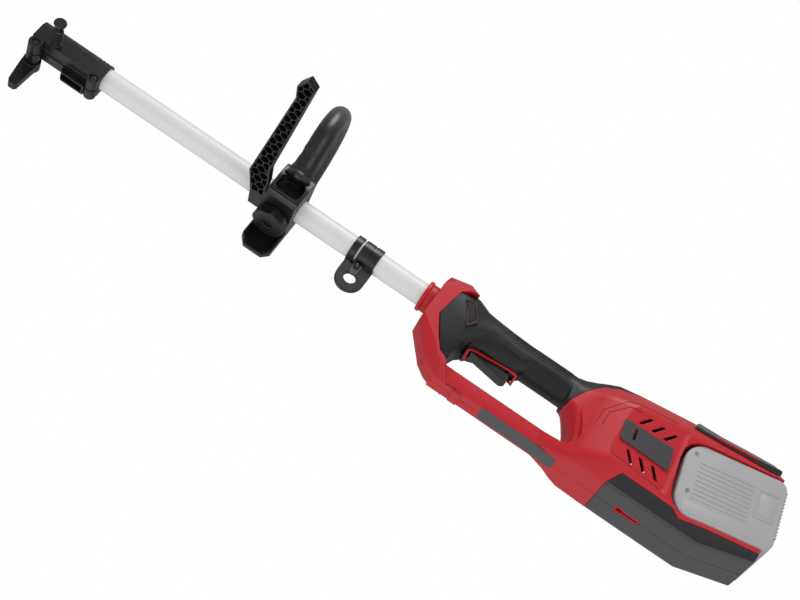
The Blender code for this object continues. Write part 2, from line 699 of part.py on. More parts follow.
def grip(side, name):
    """One half of the black grip, from the cheek on the hub to the tongue on the housing."""
    def ring(x, bottom, top, half, power):
        middle, rise = (top + bottom) / 2, (top - bottom) / 2
        points = []
        for k in range(24):
            angle = -pi / 2 + pi / 24 + 2 * pi * k / 24
            across = abs(cos(angle)) ** (2 / power) * (1 if cos(angle) > 0 else -1)
            up = abs(sin(angle)) ** (2 / power) * (1 if sin(angle) > 0 else -1)
            points.append((x, half * across, middle + rise * up))
        return points

    rings = [ring(mm(-22), mm(-80), mm(36), CHEEK_HALF, 3),
             ring(mm(-56), mm(-80), mm(30), CHEEK_HALF, 3),
             ring(mm(-70), mm(-62), mm(25.5), mm(22), 2.4),
             ring(mm(-84), mm(-40), mm(24.2), mm(20), 2.2),
             ring(mm(-104), mm(-31), mm(22.9), GRIP_HALF + mm(0.8), 2.1),
             ring(mm(-127), mm(-29), GRIP_TOP + mm(0.3), GRIP_HALF, 2),
             ring(mm(-136), GRIP_BOTTOM, GRIP_TOP, GRIP_HALF, 2),
             ring(mm(-178), GRIP_BOTTOM, GRIP_TOP, GRIP_HALF, 2),
             ring(mm(-187), GRIP_BOTTOM, GRIP_TOP - mm(0.8), GRIP_HALF + mm(0.6), 2)]
    tongue = BODY_STATIONS[1:GRIP_STATIONS]
    for station in tongue:
        rings.append(body_ring(station))
    rings.append(body_ring((mm(-270), *tongue[-1][1:])))
    body = add_part(name, loft(rings), GRIP_BLACK)
    keep(body, slab(GRIP_REGION, "XZ", mm(-80), mm(80)))
    cut(body, hand_opening())
    if side > 0:
        join(body, leaning(FRAME, CHEEK_HALF - mm(6), BUTTON_FACE + mm(0.5)))
    cut(body, slab(grown(TRIGGER_ROOM, GAP), "XZ", mm(-30), mm(30)))
    cut(body, rod(TUBE_R + GAP, (mm(-20), 0, 0), (TUBE_REAR - mm(2), 0, 0), 32))
    cut(body, rod(mm(8), (mm(-30), 0, 0), (mm(-262), 0, 0), 20))
    cut(body, block(mm(-131, -9, -34), mm(-75.6, 9, -7)))
    cut(body, rod(TRIGGER_PIN_R + GAP, (TRIGGER_PIVOT[0], mm(-13), TRIGGER_PIVOT[2]),
                  (TRIGGER_PIVOT[0], mm(13), TRIGGER_PIVOT[2]), 16))
    cut(body, rod(WIRE_R + mm(1), (mm(-128), 0, WIRE_Z), (mm(-240), 0, WIRE_Z), 12))
    cut(body, motor_room())
    if side > 0:
        cut(body, slab(grown(BUTTON, GAP), "XZ", BUTTON_BACK - BUTTON_TRAVEL - mm(0.5), mm(40)))
    for rear in (mm(-187), mm(-160)):
        hollow = block((rear, -GRIP_HALF + GRIP_WALL, GRIP_BOTTOM + GRIP_WALL),
                       (rear + GRIP_CELL, GRIP_HALF - GRIP_WALL, GRIP_TOP - GRIP_WALL))
        cut(body, hollow)
    keep(body, half_space(side))
    return body


BUTTON = [mm(*point) for point in [(-43.5, 11.5), (-51.5, 13), (-62.5, -3.5), (-58.5, -12.5)]]
FRAME = [mm(*point) for point in [(-41, 12.5), (-52, 15.6), (-66.5, -6), (-58, -18)]]


def leaning(outline, base, face):
    """A block on the left cheek whose face leans inwards towards the top, as the cheek does."""
    lowest = min(z for x, z in outline)
    return loft([[(x, base, z) for x, z in outline],
                 [(x, face - BUTTON_LEAN * (z - lowest), z) for x, z in outline]])


# Side view of the frame round the trigger: its upper line and, under it, its lower line
SURROUND_TOP = [mm(*point) for point in [
    (-72.4, -33), (-72.4, -31), (-77, -27.3), (-122.9, -23), (-130.6, -23.8), (-132.6, -27)]]
SURROUND_BASE = [mm(*point) for point in [
    (-130.4, -27), (-129, -25.9), (-122.7, -25.2), (-78, -29.5), (-74.5, -32), (-74.5, -33)]]

# Side view of the room that the trigger and its frame take from the grip
TRIGGER_ROOM = SURROUND_TOP + [mm(-132.6, -60), mm(-72.4, -60)]


def trigger_group():
    """Trigger with its pin and spring, the red surround and the switch above it."""
    surround = add_part("trigger_surround", slab(SURROUND_TOP + SURROUND_BASE, "XZ",
                                                 -SURROUND_HALF, SURROUND_HALF), RED)
    slot = TRIGGER_HALF + mm(0.6)
    cut(surround, block((mm(-129.6), -slot, mm(-40)), (mm(-75.8), slot, mm(-20))))
    outline = [mm(*point) for point in [
        (-76.9, -30.4), (-76.9, -18.8), (-85, -18.8), (-91, -26.6), (-125.5, -28.2),
        (-126.2, -34.2), (-121.4, -37.6)]]
    lever = add_part("trigger", slab(rounded(outline, mm(1.8), 2), "XZ", -TRIGGER_HALF,
                                     TRIGGER_HALF), BLACK, TRIGGER_PIVOT)
    x, _, z = TRIGGER_PIVOT
    cut(lever, rod(TRIGGER_PIN_R + GAP, (x, mm(-12), z), (x, mm(12), z), 20))
    add_part("trigger_pin", rod(TRIGGER_PIN_R, (x, mm(-12.6), z), (x, mm(12.6), z), 20), STEEL)
    module = add_part("switch_module", block(mm(-129, -8.6, -20), mm(-93, 8.6, -7.4)), BLACK)
    join(module, block(mm(-112, -3, -23), mm(-104, 3, -19)))
    rebound = rod(mm(1.8), mm(-121, 0, -27.6), mm(-121, 0, -20.3), 12)
    add_part("trigger_spring", rebound, STEEL)
    press = leaning(BUTTON, BUTTON_BACK, BUTTON_FACE)
    add_part("lock_button", press, BLACK, mm(-54, 25, 1))


def collar():
    """Red flanged collar that clamps the tube in front of the hub."""
    turned("tube_collar", [
        (COLLAR_FLANGE_R - mm(1), 0), (COLLAR_FLANGE_R, -mm(1)), (COLLAR_FLANGE_R, -COLLAR_FLANGE),
        (COLLAR_NECK_R, -COLLAR_FLANGE - mm(1)), (COLLAR_NECK_R, -COLLAR_LENGTH),
        (TUBE_R + GAP, -COLLAR_LENGTH), (TUBE_R + GAP, 0)],
        RED, (0, 0, 0), (1, 0, 0), 40, closed=True)


def drive_line():
    """Tube, bearing sleeves, drive shaft, socket, and the motor that turns them."""
    turned("shaft_tube", ring_profile(TUBE_R - TUBE_WALL, TUBE_R, TUBE_REAR, TUBE_FRONT),
           SILVER, (0, 0, 0), (1, 0, 0), 40, closed=True)
    sleeve_r = TUBE_R - TUBE_WALL - GAP
    for number, centre in enumerate(BUSHING_CENTRES, 1):
        turned("shaft_bushing_%d" % number,
               ring_profile(SHAFT_R + GAP, sleeve_r, centre - BUSHING_LENGTH / 2,
                            centre + BUSHING_LENGTH / 2),
               BLACK, (0, 0, 0), (1, 0, 0), 20, closed=True)
    socket_front = TUBE_FRONT - mm(4)
    socket_rear = socket_front - SOCKET_LENGTH
    bearing = turned("front_bearing", ring_profile(SOCKET_R + GAP, sleeve_r, socket_rear,
                                                   socket_rear + mm(9)),
                     STEEL, (0, 0, 0), (1, 0, 0), 24, closed=True)
    shaft = add_part("drive_shaft", rod(SHAFT_R, (MOTOR_FRONT + mm(14), 0, 0),
                                        (socket_rear + mm(2), 0, 0), 16), STEEL)
    socket = add_part("drive_socket", rod(SOCKET_R, (socket_rear, 0, 0),
                                          (socket_front, 0, 0), 20), STEEL)
    half = SOCKET_SQUARE / 2
    cut(socket, block((socket_front - SOCKET_DEPTH, -half, -half),
                      (socket_front + mm(2), half, half)))
    cut(socket, rod(SHAFT_R + GAP, (socket_rear - mm(1), 0, 0),
                    (socket_rear + mm(2.3), 0, 0), 16))
    motor()
    return bearing, shaft


def motor():
    """Motor, coupling sleeve, fan and the cradle that carries the motor."""
    rear = MOTOR_FRONT - STATOR_LENGTH
    turned("motor_stator", ring_profile(ROTOR_R + mm(0.5), STATOR_R, rear, MOTOR_FRONT),
           COPPER, (0, 0, 0), (1, 0, 0), 32, closed=True)
    bracket_front = MOTOR_FRONT + mm(6)
    turned("motor_bracket", ring_profile(mm(8.3), STATOR_R + mm(1), MOTOR_FRONT + GAP,
                                         bracket_front),
           SILVER, (0, 0, 0), (1, 0, 0), 32, closed=True)
    turned("motor_bearing", ring_profile(SHAFT_R + GAP, mm(8), MOTOR_FRONT + mm(0.6),
                                         bracket_front),
           STEEL, (0, 0, 0), (1, 0, 0), 20, closed=True)
    tail = rear - mm(4) - FAN_WIDTH
    rotor = add_part("motor_rotor", rod(ROTOR_R, (rear + mm(2), 0, 0),
                                        (MOTOR_FRONT - mm(2), 0, 0), 24), STEEL)
    join(rotor, rod(SHAFT_R, (tail, 0, 0), (MOTOR_FRONT + mm(13.7), 0, 0), 16))
    turned("shaft_coupling", ring_profile(SHAFT_R + GAP, mm(6.5), MOTOR_FRONT + mm(6.6),
                                          MOTOR_FRONT + mm(22)),
           STEEL, (0, 0, 0), (1, 0, 0), 20, closed=True)
    fan = add_part("cooling_fan", rod(mm(9), (tail + mm(1), 0, 0),
                                      (tail + mm(1) + FAN_WIDTH, 0, 0), 22), BLACK)
    join(fan, rod(FAN_R - mm(1), (tail + mm(1) + FAN_WIDTH - mm(1.6), 0, 0),
                  (tail + mm(1) + FAN_WIDTH, 0, 0), 22))
    blades = bmesh.new()
    for k in range(FAN_BLADES):
        blade = block((tail + mm(1.2), mm(7), -mm(0.7)),
                      (tail + FAN_WIDTH, FAN_R, mm(0.7)))
        middle = Matrix.Translation((tail + FAN_WIDTH / 2, 0, 0))
        blade.transform(Matrix.Rotation(2 * pi * k / FAN_BLADES, 4, "X")
                        @ middle @ Matrix.Rotation(radians(8), 4, "Z") @ middle.inverted())
        blades.from_mesh(blade)
    join(fan, mesh_from(blades))
    cut(fan, rod(SHAFT_R + GAP, (tail - mm(2), 0, 0), (tail + mm(16), 0, 0), 16))
    cradle = add_part("motor_cradle", block((rear + mm(6), mm(-20), mm(-68.3)),
                                            (MOTOR_FRONT - mm(6), mm(20), mm(-14))), BLACK)
    cut(cradle, rod(STATOR_R + GAP, (rear, 0, 0), (MOTOR_FRONT, 0, 0), 32))
    cut(cradle, block((rear, mm(-13), mm(-64)), (MOTOR_FRONT, mm(13), mm(-32))))


def electronics():
    """Controller board in the bottom cover, terminal block and the wires to the switch."""
    floor = UNDERSIDE + WALL
    board = add_part("controller_board", block((mm(-343), mm(-30), floor + mm(3)),
                                               (mm(-324), mm(30), floor + mm(4.6))), GREEN)
    join(board, block((mm(-341), mm(-24), floor + GAP), (mm(-326), mm(24), floor + mm(3.5))))
    terminals = add_part("terminal_block", terminal_body(), BLACK)
    rear = BATTERY_LENGTH / 2
    for across in TERMINALS:
        blade = block((rear - BLADE_REACH, across - BLADE_HALF, -BLADE_RISE),
                      (rear + POCKET_FRONT + mm(2), across + BLADE_HALF, BLADE_RISE))
        join(terminals, battery_place(blade))
    wires()
    return board, terminals


def wires():
    """Loom from the switch along the grip, under the motor and down to the board."""
    curve = bpy.data.curves.new("switch_wires", "CURVE")
    curve.dimensions = "3D"
    curve.bevel_depth = WIRE_R
    curve.bevel_resolution = 1
    curve.use_fill_caps = True
    board_top = UNDERSIDE + WALL + mm(4.6)
    low = board_top + GAP + WIRE_R
    corners = [(mm(-129.6), 0, WIRE_Z), (mm(-226), 0, WIRE_Z), (mm(-229), 0, mm(-18)),
               (mm(-231.5), 0, mm(-44)), (mm(-240), 0, mm(-50)), (mm(-276), 0, mm(-50)),
               (WIRE_DROP_X + mm(6), WIRE_DROP_Y - mm(2), mm(-52)),
               (WIRE_DROP_X, WIRE_DROP_Y, mm(-58)), (WIRE_DROP_X, WIRE_DROP_Y, mm(-71)),
               (WIRE_DROP_X - mm(5), WIRE_DROP_Y, low), (mm(-333), WIRE_DROP_Y, low)]
    spline = curve.splines.new("POLY")
    spline.points.add(len(corners) - 1)
    for point, place in zip(spline.points, corners):
        point.co = (*place, 1)
    loom = bpy.data.objects.new("switch_wires", curve)
    loom.parent = TOOL
    curve.materials.append(material(RUBBER))
    PARTS.objects.link(loom)


def battery():
    """Battery pack on its own tilted axes: case, cells and latch button."""
    own = battery_place
    outline = battery_outline()
    rings = []
    for across, shrink in ((-BATTERY_HALF, mm(3)), (-BATTERY_HALF + mm(3), 0),
                           (BATTERY_HALF - mm(3), 0), (BATTERY_HALF, mm(3))):
        ring = grown(outline, -shrink) if shrink else outline
        rings.append([(px, across, pz) for px, pz in ring])
    case = add_part("battery_case", own(loft(rings)), LIGHT_GREY)
    inner_x = BATTERY_LENGTH / 2 - BATTERY_WALL
    inner_z = BATTERY_HEIGHT / 2 - BATTERY_WALL
    inner_y = BATTERY_HALF - BATTERY_WALL - mm(1)
    room = rounded([(-inner_x, -inner_z), (inner_x, -inner_z), (inner_x, inner_z),
                    (-inner_x, inner_z)], [mm(3), BATTERY_FRONT_R, BATTERY_FRONT_R, mm(3)], 4)
    cut(case, own(slab(room, "XZ", -inner_y, inner_y)))
    for across in TERMINALS:
        cut(case, own(block((inner_x - mm(2), across - BLADE_HALF - mm(0.6), -BLADE_RISE - mm(1)),
                            (BATTERY_LENGTH / 2 + mm(2), across + BLADE_HALF + mm(0.6),
                             BLADE_RISE + mm(1)))))
    for k in range(SIDE_GROOVES):
        level = mm(3) + (SIDE_GROOVES / 2 - k - 0.5) * SIDE_GROOVE_PITCH
        for side in (-1, 1):
            low, high = sorted((side * (BATTERY_HALF - mm(1)), side * (BATTERY_HALF + mm(5))))
            groove = block((mm(-24), low, level - SIDE_GROOVE_HALF),
                           (mm(34), high, level + SIDE_GROOVE_HALF))
            cut(case, own(groove))
    holder_x, holder_z = inner_x - BLADE_REACH, inner_z - GAP
    holder_top = holder_z - HOLDER_DROP
    holder = rounded([(-holder_x, -holder_z), (holder_x, -holder_z), (holder_x, holder_top),
                      (-holder_x, holder_top)], [mm(3), BATTERY_FRONT_R, mm(2), mm(3)], 4)
    cells = add_part("battery_cells", own(slab(holder, "XZ", -HOLDER_OUTER, -HOLDER_INNER)),
                     CELL_BLUE)
    join(cells, own(slab(holder, "XZ", HOLDER_INNER, HOLDER_OUTER)))
    pitch = 2 * CELL_R + mm(0.8)
    drawn = bmesh.new()
    for row, count in enumerate(CELL_ROWS):
        for k in range(count):
            cx = (k - (count - 1) / 2) * pitch
            cz = -holder_z + CELL_R + mm(1) + row * pitch * 0.9
            drawn.from_mesh(rod(CELL_R, (cx, -CELL_LENGTH / 2, cz),
                                (cx, CELL_LENGTH / 2, cz), 12))
    join(cells, own(mesh_from(drawn)))
    rear = -BATTERY_LENGTH / 2
    cut(case, own(block((rear - mm(2), mm(-14.3), mm(24.7)), (rear + mm(6), mm(14.3), mm(37.3)))))
    button = own(block((rear - mm(1.5), mm(-14), mm(25)), (rear + mm(2.1), mm(14), mm(37)),
                       mm(0.8)))
    add_part("battery_latch", button, BLACK)


PAD_HALF = mm(38)
PAD_THICK = [mm(2.9), mm(3.8), mm(4.8), mm(6.6)]    # at the last four stations of the housing
PAD_GAP = mm(0.8)
PAD_SIDE = [mm(*point) for point in [
    (-317, 20), (-319, 40), (-334, 80), (-398, 80), (-413, 55), (-422, 45), (-422, 20)]]


def top_pad():
    """Black pad that wraps over the top and the upper chamfers of the rear housing."""
    rear = BODY_STATIONS[-len(PAD_THICK):]
    outside = loft([body_ring(station, -thick) for station, thick in zip(rear, PAD_THICK)])
    pad = add_part("top_pad", outside, BLACK)
    keep(pad, slab(PAD_SIDE, "XZ", -PAD_HALF, PAD_HALF))
    cut(pad, body_loft(-PAD_GAP))
    return pad


def side_plate():
    """Bare dark plate with one slot in the left side panel."""
    base = SIDE_HALF - PANEL_DEPTH + GAP
    plate = add_part("side_plate", slab(rounded(PLATE, mm(1.5), 2), "XZ", base,
                                        base + PLATE_THICK), DARK_GREY)
    cut(plate, slab(PLATE_SLOT, "XZ", mm(40), mm(60)))


def screw(name, head_r, shank_r, seat, axis, head, length):
    """A plain pan-head screw: seat is the underside of its head, axis points to its tip."""
    turned(name, [
        (0, head), (head_r * 0.6, head), (head_r, head * 0.55), (head_r, 0), (shank_r, 0),
        (shank_r, -length + shank_r), (0, -length)],
        STEEL, seat, tuple(-part for part in axis), 14)


def housing_screws():
    """Screws that pull the two halves together, driven from the right side."""
    for number, (x, z) in enumerate(HOUSING_SCREWS, 1):
        head = -SCREW_HEAD_DEPTH - GAP
        screw("housing_screw_%d" % number, SCREW_HEAD_R, SCREW_R, (x, head, z), (0, 1, 0),
              mm(3), SCREW_REACH - head)


def loop_path(t):
    """Middle line of the loop for t from 0 (near foot) to 1 (far leg): y, z and radius."""
    arch = pi * LOOP_HALF
    leg = hypot(LOOP_HALF - mm(25), LOOP_RISE - mm(12))
    total = 2 * leg + arch
    along = t * total
    side = 1
    if along > total / 2:
        along = total - along
        side = -1
    if along < leg:
        s = along / leg
        ease = s * s * (3 - 2 * s)
        y = mm(25) + (LOOP_HALF - mm(25)) * ease
        z = mm(12) + (LOOP_RISE - mm(12)) * s
    else:
        angle = (along - leg) / LOOP_HALF
        y = LOOP_HALF * cos(angle)
        z = LOOP_RISE + LOOP_HALF * sin(angle)
    return side * y, z


def loop_handle():
    """Loop handle: a thick rod bent to a loop, with a near foot and a longer far leg."""
    curve = bpy.data.curves.new("loop", "CURVE")
    curve.dimensions = "3D"
    curve.bevel_depth = LOOP_R
    curve.bevel_resolution = 2
    curve.use_fill_caps = True
    count = 34
    spline = curve.splines.new("POLY")
    spline.points.add(count - 1)
    for k, point in enumerate(spline.points):
        y, z = loop_path(k / (count - 1))
        point.co = (0, y, z, 1)
        wave = 0.0
        if z < mm(72):
            wave = 0.07 * sin(z / mm(11.5) * pi) * min(1, (mm(72) - z) / mm(20))
        point.radius = 1.0 + wave
    drawn = bpy.data.objects.new("loop", curve)
    CUTTERS.objects.link(drawn)
    bpy.context.view_layer.update()
    rod_mesh = bpy.data.meshes.new_from_object(drawn.evaluated_get(
        bpy.context.evaluated_depsgraph_get()))
    bpy.data.objects.remove(drawn)
    bm = bmesh.new()
    bm.from_mesh(rod_mesh)
    bmesh.ops.remove_doubles(bm, verts=bm.verts, dist=1e-6)
    lean = Matrix.Translation((HANDLE_X, 0, 0)) @ Matrix.Rotation(LOOP_LEAN, 4, "Y")
    bmesh.ops.transform(bm, matrix=lean, verts=bm.verts)
    loop = add_part("loop_handle", mesh_from(bm), BLACK)
    half = HANDLE_WIDTH / 2
    x0, x1 = HANDLE_X - half, HANDLE_X + half
    foot = [(FOOT_INNER, FOOT_BOTTOM), (FOOT_OUTER, FOOT_BOTTOM), (FOOT_OUTER + mm(1), mm(6)),
            (FOOT_OUTER - mm(1), mm(20)), (mm(26), mm(27)), (FOOT_INNER, mm(22))]
    join(loop, slab(rounded(foot, mm(3), 2), "YZ", x0, x1))
    leg = [(-FOOT_INNER, mm(22)), (mm(-26), mm(27)), (-FOOT_OUTER + mm(1), mm(20)),
           (-FOOT_OUTER - mm(1), mm(6)), (-FOOT_OUTER, mm(-48)), (-FOOT_OUTER + mm(5), LEG_BOTTOM),
           (-FOOT_INNER - mm(4.5), LEG_BOTTOM), (-FOOT_INNER - mm(4.5), mm(-26)),
           (-FOOT_INNER, mm(-16))]
    join(loop, slab(leg, "YZ", x0, x1))
    seat = SADDLE_TOP + GAP
    bridge = [(-FOOT_OUTER + mm(3), seat), (FOOT_OUTER - mm(3), seat),
              (FOOT_OUTER - mm(3), mm(20)), (FOOT_OUTER - mm(8), mm(24)),
              (-FOOT_OUTER + mm(8), mm(24)), (-FOOT_OUTER + mm(3), mm(20))]
    join(loop, slab(bridge, "YZ", x0, x1))
    cut(loop, rod(LINER_R + GAP, (x0 - mm(5), 0, 0), (x1 + mm(5), 0, 0), 32))
    arch = [(x0 + mm(4), mm(-12.5)), (x1 - mm(4), mm(-12.5)), (x1 - mm(4), mm(4)),
            (x1 - mm(11), mm(12)), (x0 + mm(11), mm(12)), (x0 + mm(4), mm(4))]
    cut(loop, slab(rounded(arch, mm(4), 2), "XZ", FOOT_OUTER - mm(14), FOOT_OUTER + mm(10)))
    scoop = [(x0 + mm(3.4), mm(-22)), (x0 + mm(3.4), mm(-48)), (x0 + mm(9), LEG_BOTTOM + mm(3.2)),
             (x1 - mm(12), LEG_BOTTOM + mm(3.2)), (x1 - mm(3.4), mm(-46)), (x1 - mm(3.4), mm(-22))]
    cut(loop, slab(scoop, "XZ", -FOOT_OUTER + mm(3.2), mm(0)))
    corner = [(x0 - mm(2), mm(-46)), (x0 - mm(2), LEG_BOTTOM - mm(3)), (x0 + mm(8), LEG_BOTTOM - mm(3))]
    cut(loop, slab(corner, "XZ", mm(-60), mm(0)))
    corner = [(x1 + mm(2), mm(-44)), (x1 - mm(11), LEG_BOTTOM - mm(3)), (x1 + mm(2), LEG_BOTTOM - mm(3))]
    cut(loop, slab(corner, "XZ", mm(-60), mm(0)))
    return loop


def handle_clamp():
    """Rubber liner, lower saddle, nut and screws that clamp the loop handle to the tube."""
    half = HANDLE_WIDTH / 2
    x0, x1 = HANDLE_X - half, HANDLE_X + half
    turned("handle_liner", ring_profile(TUBE_R + GAP, LINER_R, x0, x1), RUBBER, (0, 0, 0),
           (1, 0, 0), 40, closed=True)
    saddle_outline = [(-SADDLE_HALF, SADDLE_TOP), (-SADDLE_HALF, SADDLE_BOTTOM),
                      (mm(31), SADDLE_BOTTOM), (mm(31), FOOT_BOTTOM - GAP),
                      (SADDLE_HALF, FOOT_BOTTOM - GAP), (SADDLE_HALF, SADDLE_TOP)]
    saddle = add_part("clamp_saddle", slab(saddle_outline, "YZ", x0, x1), BLACK)
    cut(saddle, rod(LINER_R + GAP, (x0 - mm(5), 0, 0), (x1 + mm(5), 0, 0), 32))
    cut(saddle, rod(mm(3.3), (HANDLE_X, 0, mm(-40)), (HANDLE_X, 0, 0), 16))
    cut(saddle, rod(mm(6.3), (HANDLE_X, 0, mm(-40)), (HANDLE_X, 0, mm(-19.5)), 6))
    for across in BAR_SCREW_Y:
        cut(saddle, rod(SCREW_R + GAP, (x1 - BAR_SCREW_BITE - GAP, across, BAR_SCREW_Z),
                        (x1 + mm(5), across, BAR_SCREW_Z), 12))
    for number, across in enumerate(BAR_SCREW_Y, 1):
        screw("bar_screw_%d" % number, SCREW_HEAD_R, SCREW_R,
              (x1 + BAR_SEAT + GAP, across, BAR_SCREW_Z), (-1, 0, 0), mm(2.4),
              BAR_SEAT + GAP + BAR_SCREW_BITE)
    nut = add_part("clamp_nut", rod(mm(6), (HANDLE_X, 0, SADDLE_BOTTOM + GAP),
                                    (HANDLE_X, 0, mm(-19.8)), 6), STEEL)
    cut(nut, rod(mm(3.3), (HANDLE_X, 0, mm(-40)), (HANDLE_X, 0, 0), 16))
    bolt = add_part("knob_bolt", rod(mm(3), (HANDLE_X, 0, KNOB_TOP - mm(5)),
                                     (HANDLE_X, 0, -LINER_R - GAP), 16), STEEL)
    outline = []
    for k in range(KNOB_LOBES * 6):
        angle = 2 * pi * k / (KNOB_LOBES * 6)
        reach = KNOB_R - mm(1.6) * (0.5 - 0.5 * cos(KNOB_LOBES * angle)) ** 2
        outline.append((HANDLE_X + reach * cos(angle), reach * sin(angle)))
    knob = add_part("handle_knob", slab(outline, "XY", KNOB_FACE, KNOB_TOP), BLACK)
    cut(knob, rod(mm(3.3), (HANDLE_X, 0, KNOB_TOP - mm(5.3)), (HANDLE_X, 0, mm(-20)), 16))
    cut(knob, rod(mm(5), (HANDLE_X, 0, KNOB_FACE - mm(1)), (HANDLE_X, 0, KNOB_FACE + mm(4)), 16))
    return bolt, knob


# Barrier bar seen from above: x and y, from the clamp outwards and back
BAR = [mm(*point) for point in [(199.3, 17), (215.5, 17), (224, 49)]]
BAR += [(mm(x), BAR_REACH - mm(short)) for x, short in [
    (205.5, 34), (208.5, 17), (199.5, 0), (189, 9)]]
BAR += [mm(*point) for point in [(202.5, 66), (199.3, 44)]]


def barrier_bar():
    """Barrier bar: a flat moulding with a rim and honeycomb ribs on its underside."""
    base = BAR_TOP - BAR_THICK
    bar = add_part("barrier_bar", slab(BAR, "XY", base, BAR_TOP), BLACK)
    inner = grown(BAR, -BAR_RIM)
    hollows = [bmesh.new(), bmesh.new()]        # cells of the even rows and of the odd rows
    rows = int(BAR_REACH / (CELL_PITCH * 0.866)) + 2
    cell_r = (CELL_PITCH - CELL_RIB) / 2 / cos(pi / 6)
    for row in range(rows):
        y = mm(22) + row * CELL_PITCH * 0.866
        for column in range(6):
            x = mm(186) + (column + 0.5 * (row % 2)) * CELL_PITCH
            if inside((x, y), inner, cell_r * 0.8):
                cell = rod(cell_r, (x, y, base - mm(1)), (x, y, BAR_TOP - BAR_FLOOR), 6)
                hollows[row % 2].from_mesh(cell)
    clamp_front = HANDLE_X + HANDLE_WIDTH / 2
    tab = [(clamp_front + GAP, mm(-5)), (mm(213), mm(-5)), (mm(215.5), mm(18)),
           (clamp_front + GAP, mm(18))]
    join(bar, slab(tab, "XY", base, BAR_TOP))
    for hollow in hollows:
        cut(bar, mesh_from(hollow))
    for across in BAR_SCREW_Y:
        cut(bar, rod(SCREW_R + GAP, (clamp_front - mm(2), across, BAR_SCREW_Z),
                     (mm(230), across, BAR_SCREW_Z), 12))
        cut(bar, rod(SCREW_HEAD_R + GAP, (clamp_front + BAR_SEAT, across, BAR_SCREW_Z),
                     (mm(230), across, BAR_SCREW_Z), 16))
    return bar


def inside(point, outline, margin):
    """Whether a point lies in an outline, at least a margin from its edges."""
    px, py = point
    crossings = False
    for i in range(len(outline)):
        (ax, ay), (bx, by) = outline[i - 1], outline[i]
        if (ay > py) != (by > py) and px < (bx - ax) * (py - ay) / (by - ay) + ax:
            crossings = not crossings
        edge = Vector((bx - ax, by - ay))
        t = max(0, min(1, Vector((px - ax, py - ay)).dot(edge) / edge.length_squared))
        if (Vector((px - ax, py - ay)) - edge * t).length < margin:
            return False
    return crossings


def hanger():
    """Hanger clamp: a slotted band round the tube with an eye under it, tongue and screw."""
    outer = TUBE_R + GAP + HANGER_WALL
    clamp = add_part("hanger_clamp", rod(outer, (HANGER_REAR, 0, 0), (HANGER_FRONT, 0, 0), 36),
                     BLACK)
    plate = [(EYE_X - EYE_PLATE_R, mm(-8)), (EYE_X - EYE_PLATE_R, EYE_Z)]
    for k in range(1, 12):
        angle = pi + pi * k / 12
        plate.append((EYE_X + EYE_PLATE_R * cos(angle), EYE_Z + EYE_PLATE_R * sin(angle)))
    plate += [(EYE_X + EYE_PLATE_R, EYE_Z), (EYE_X + EYE_PLATE_R, mm(-8))]
    join(clamp, slab(plate, "XZ", -EYE_PLATE_HALF, EYE_PLATE_HALF))
    cut(clamp, rod(TUBE_R + GAP, (HANGER_REAR - mm(5), 0, 0), (HANGER_FRONT + mm(5), 0, 0), 36))
    cut(clamp, rod(EYE_R, (EYE_X, mm(-10), EYE_Z), (EYE_X, mm(10), EYE_Z), 24))
    cut(clamp, block((mm(81.4), mm(-2), mm(-20)), (mm(83.6), mm(30), mm(30))))
    cut(clamp, block((mm(68.2), mm(4), mm(2)), (mm(69.6), mm(30), mm(30))))
    x, z = EYE_X + mm(1.5), EYE_Z + mm(15)
    cut(clamp, rod(mm(1.8), (x, mm(-8), z), (x, mm(8), z), 12))
    tongue = [(x - mm(6), z + mm(3)), (x - mm(6), z - mm(9)), (x - mm(3), z - mm(12.5)),
              (x + mm(1.5), z - mm(12.5)), (x + mm(4.5), z - mm(9)), (x + mm(4.5), z + mm(3))]
    face = EYE_PLATE_HALF + GAP
    blade = add_part("hanger_tongue", slab(rounded(tongue, mm(2), 2), "XZ", face,
                                           face + mm(2)), DARK_GREY)
    cut(blade, rod(mm(1.8), (x, 0, z), (x, mm(20), z), 12))
    head = face + mm(2) + GAP
    screw("hanger_screw", mm(3.6), mm(1.5), (x, head, z), (0, -1, 0), mm(2.2), head + mm(3))


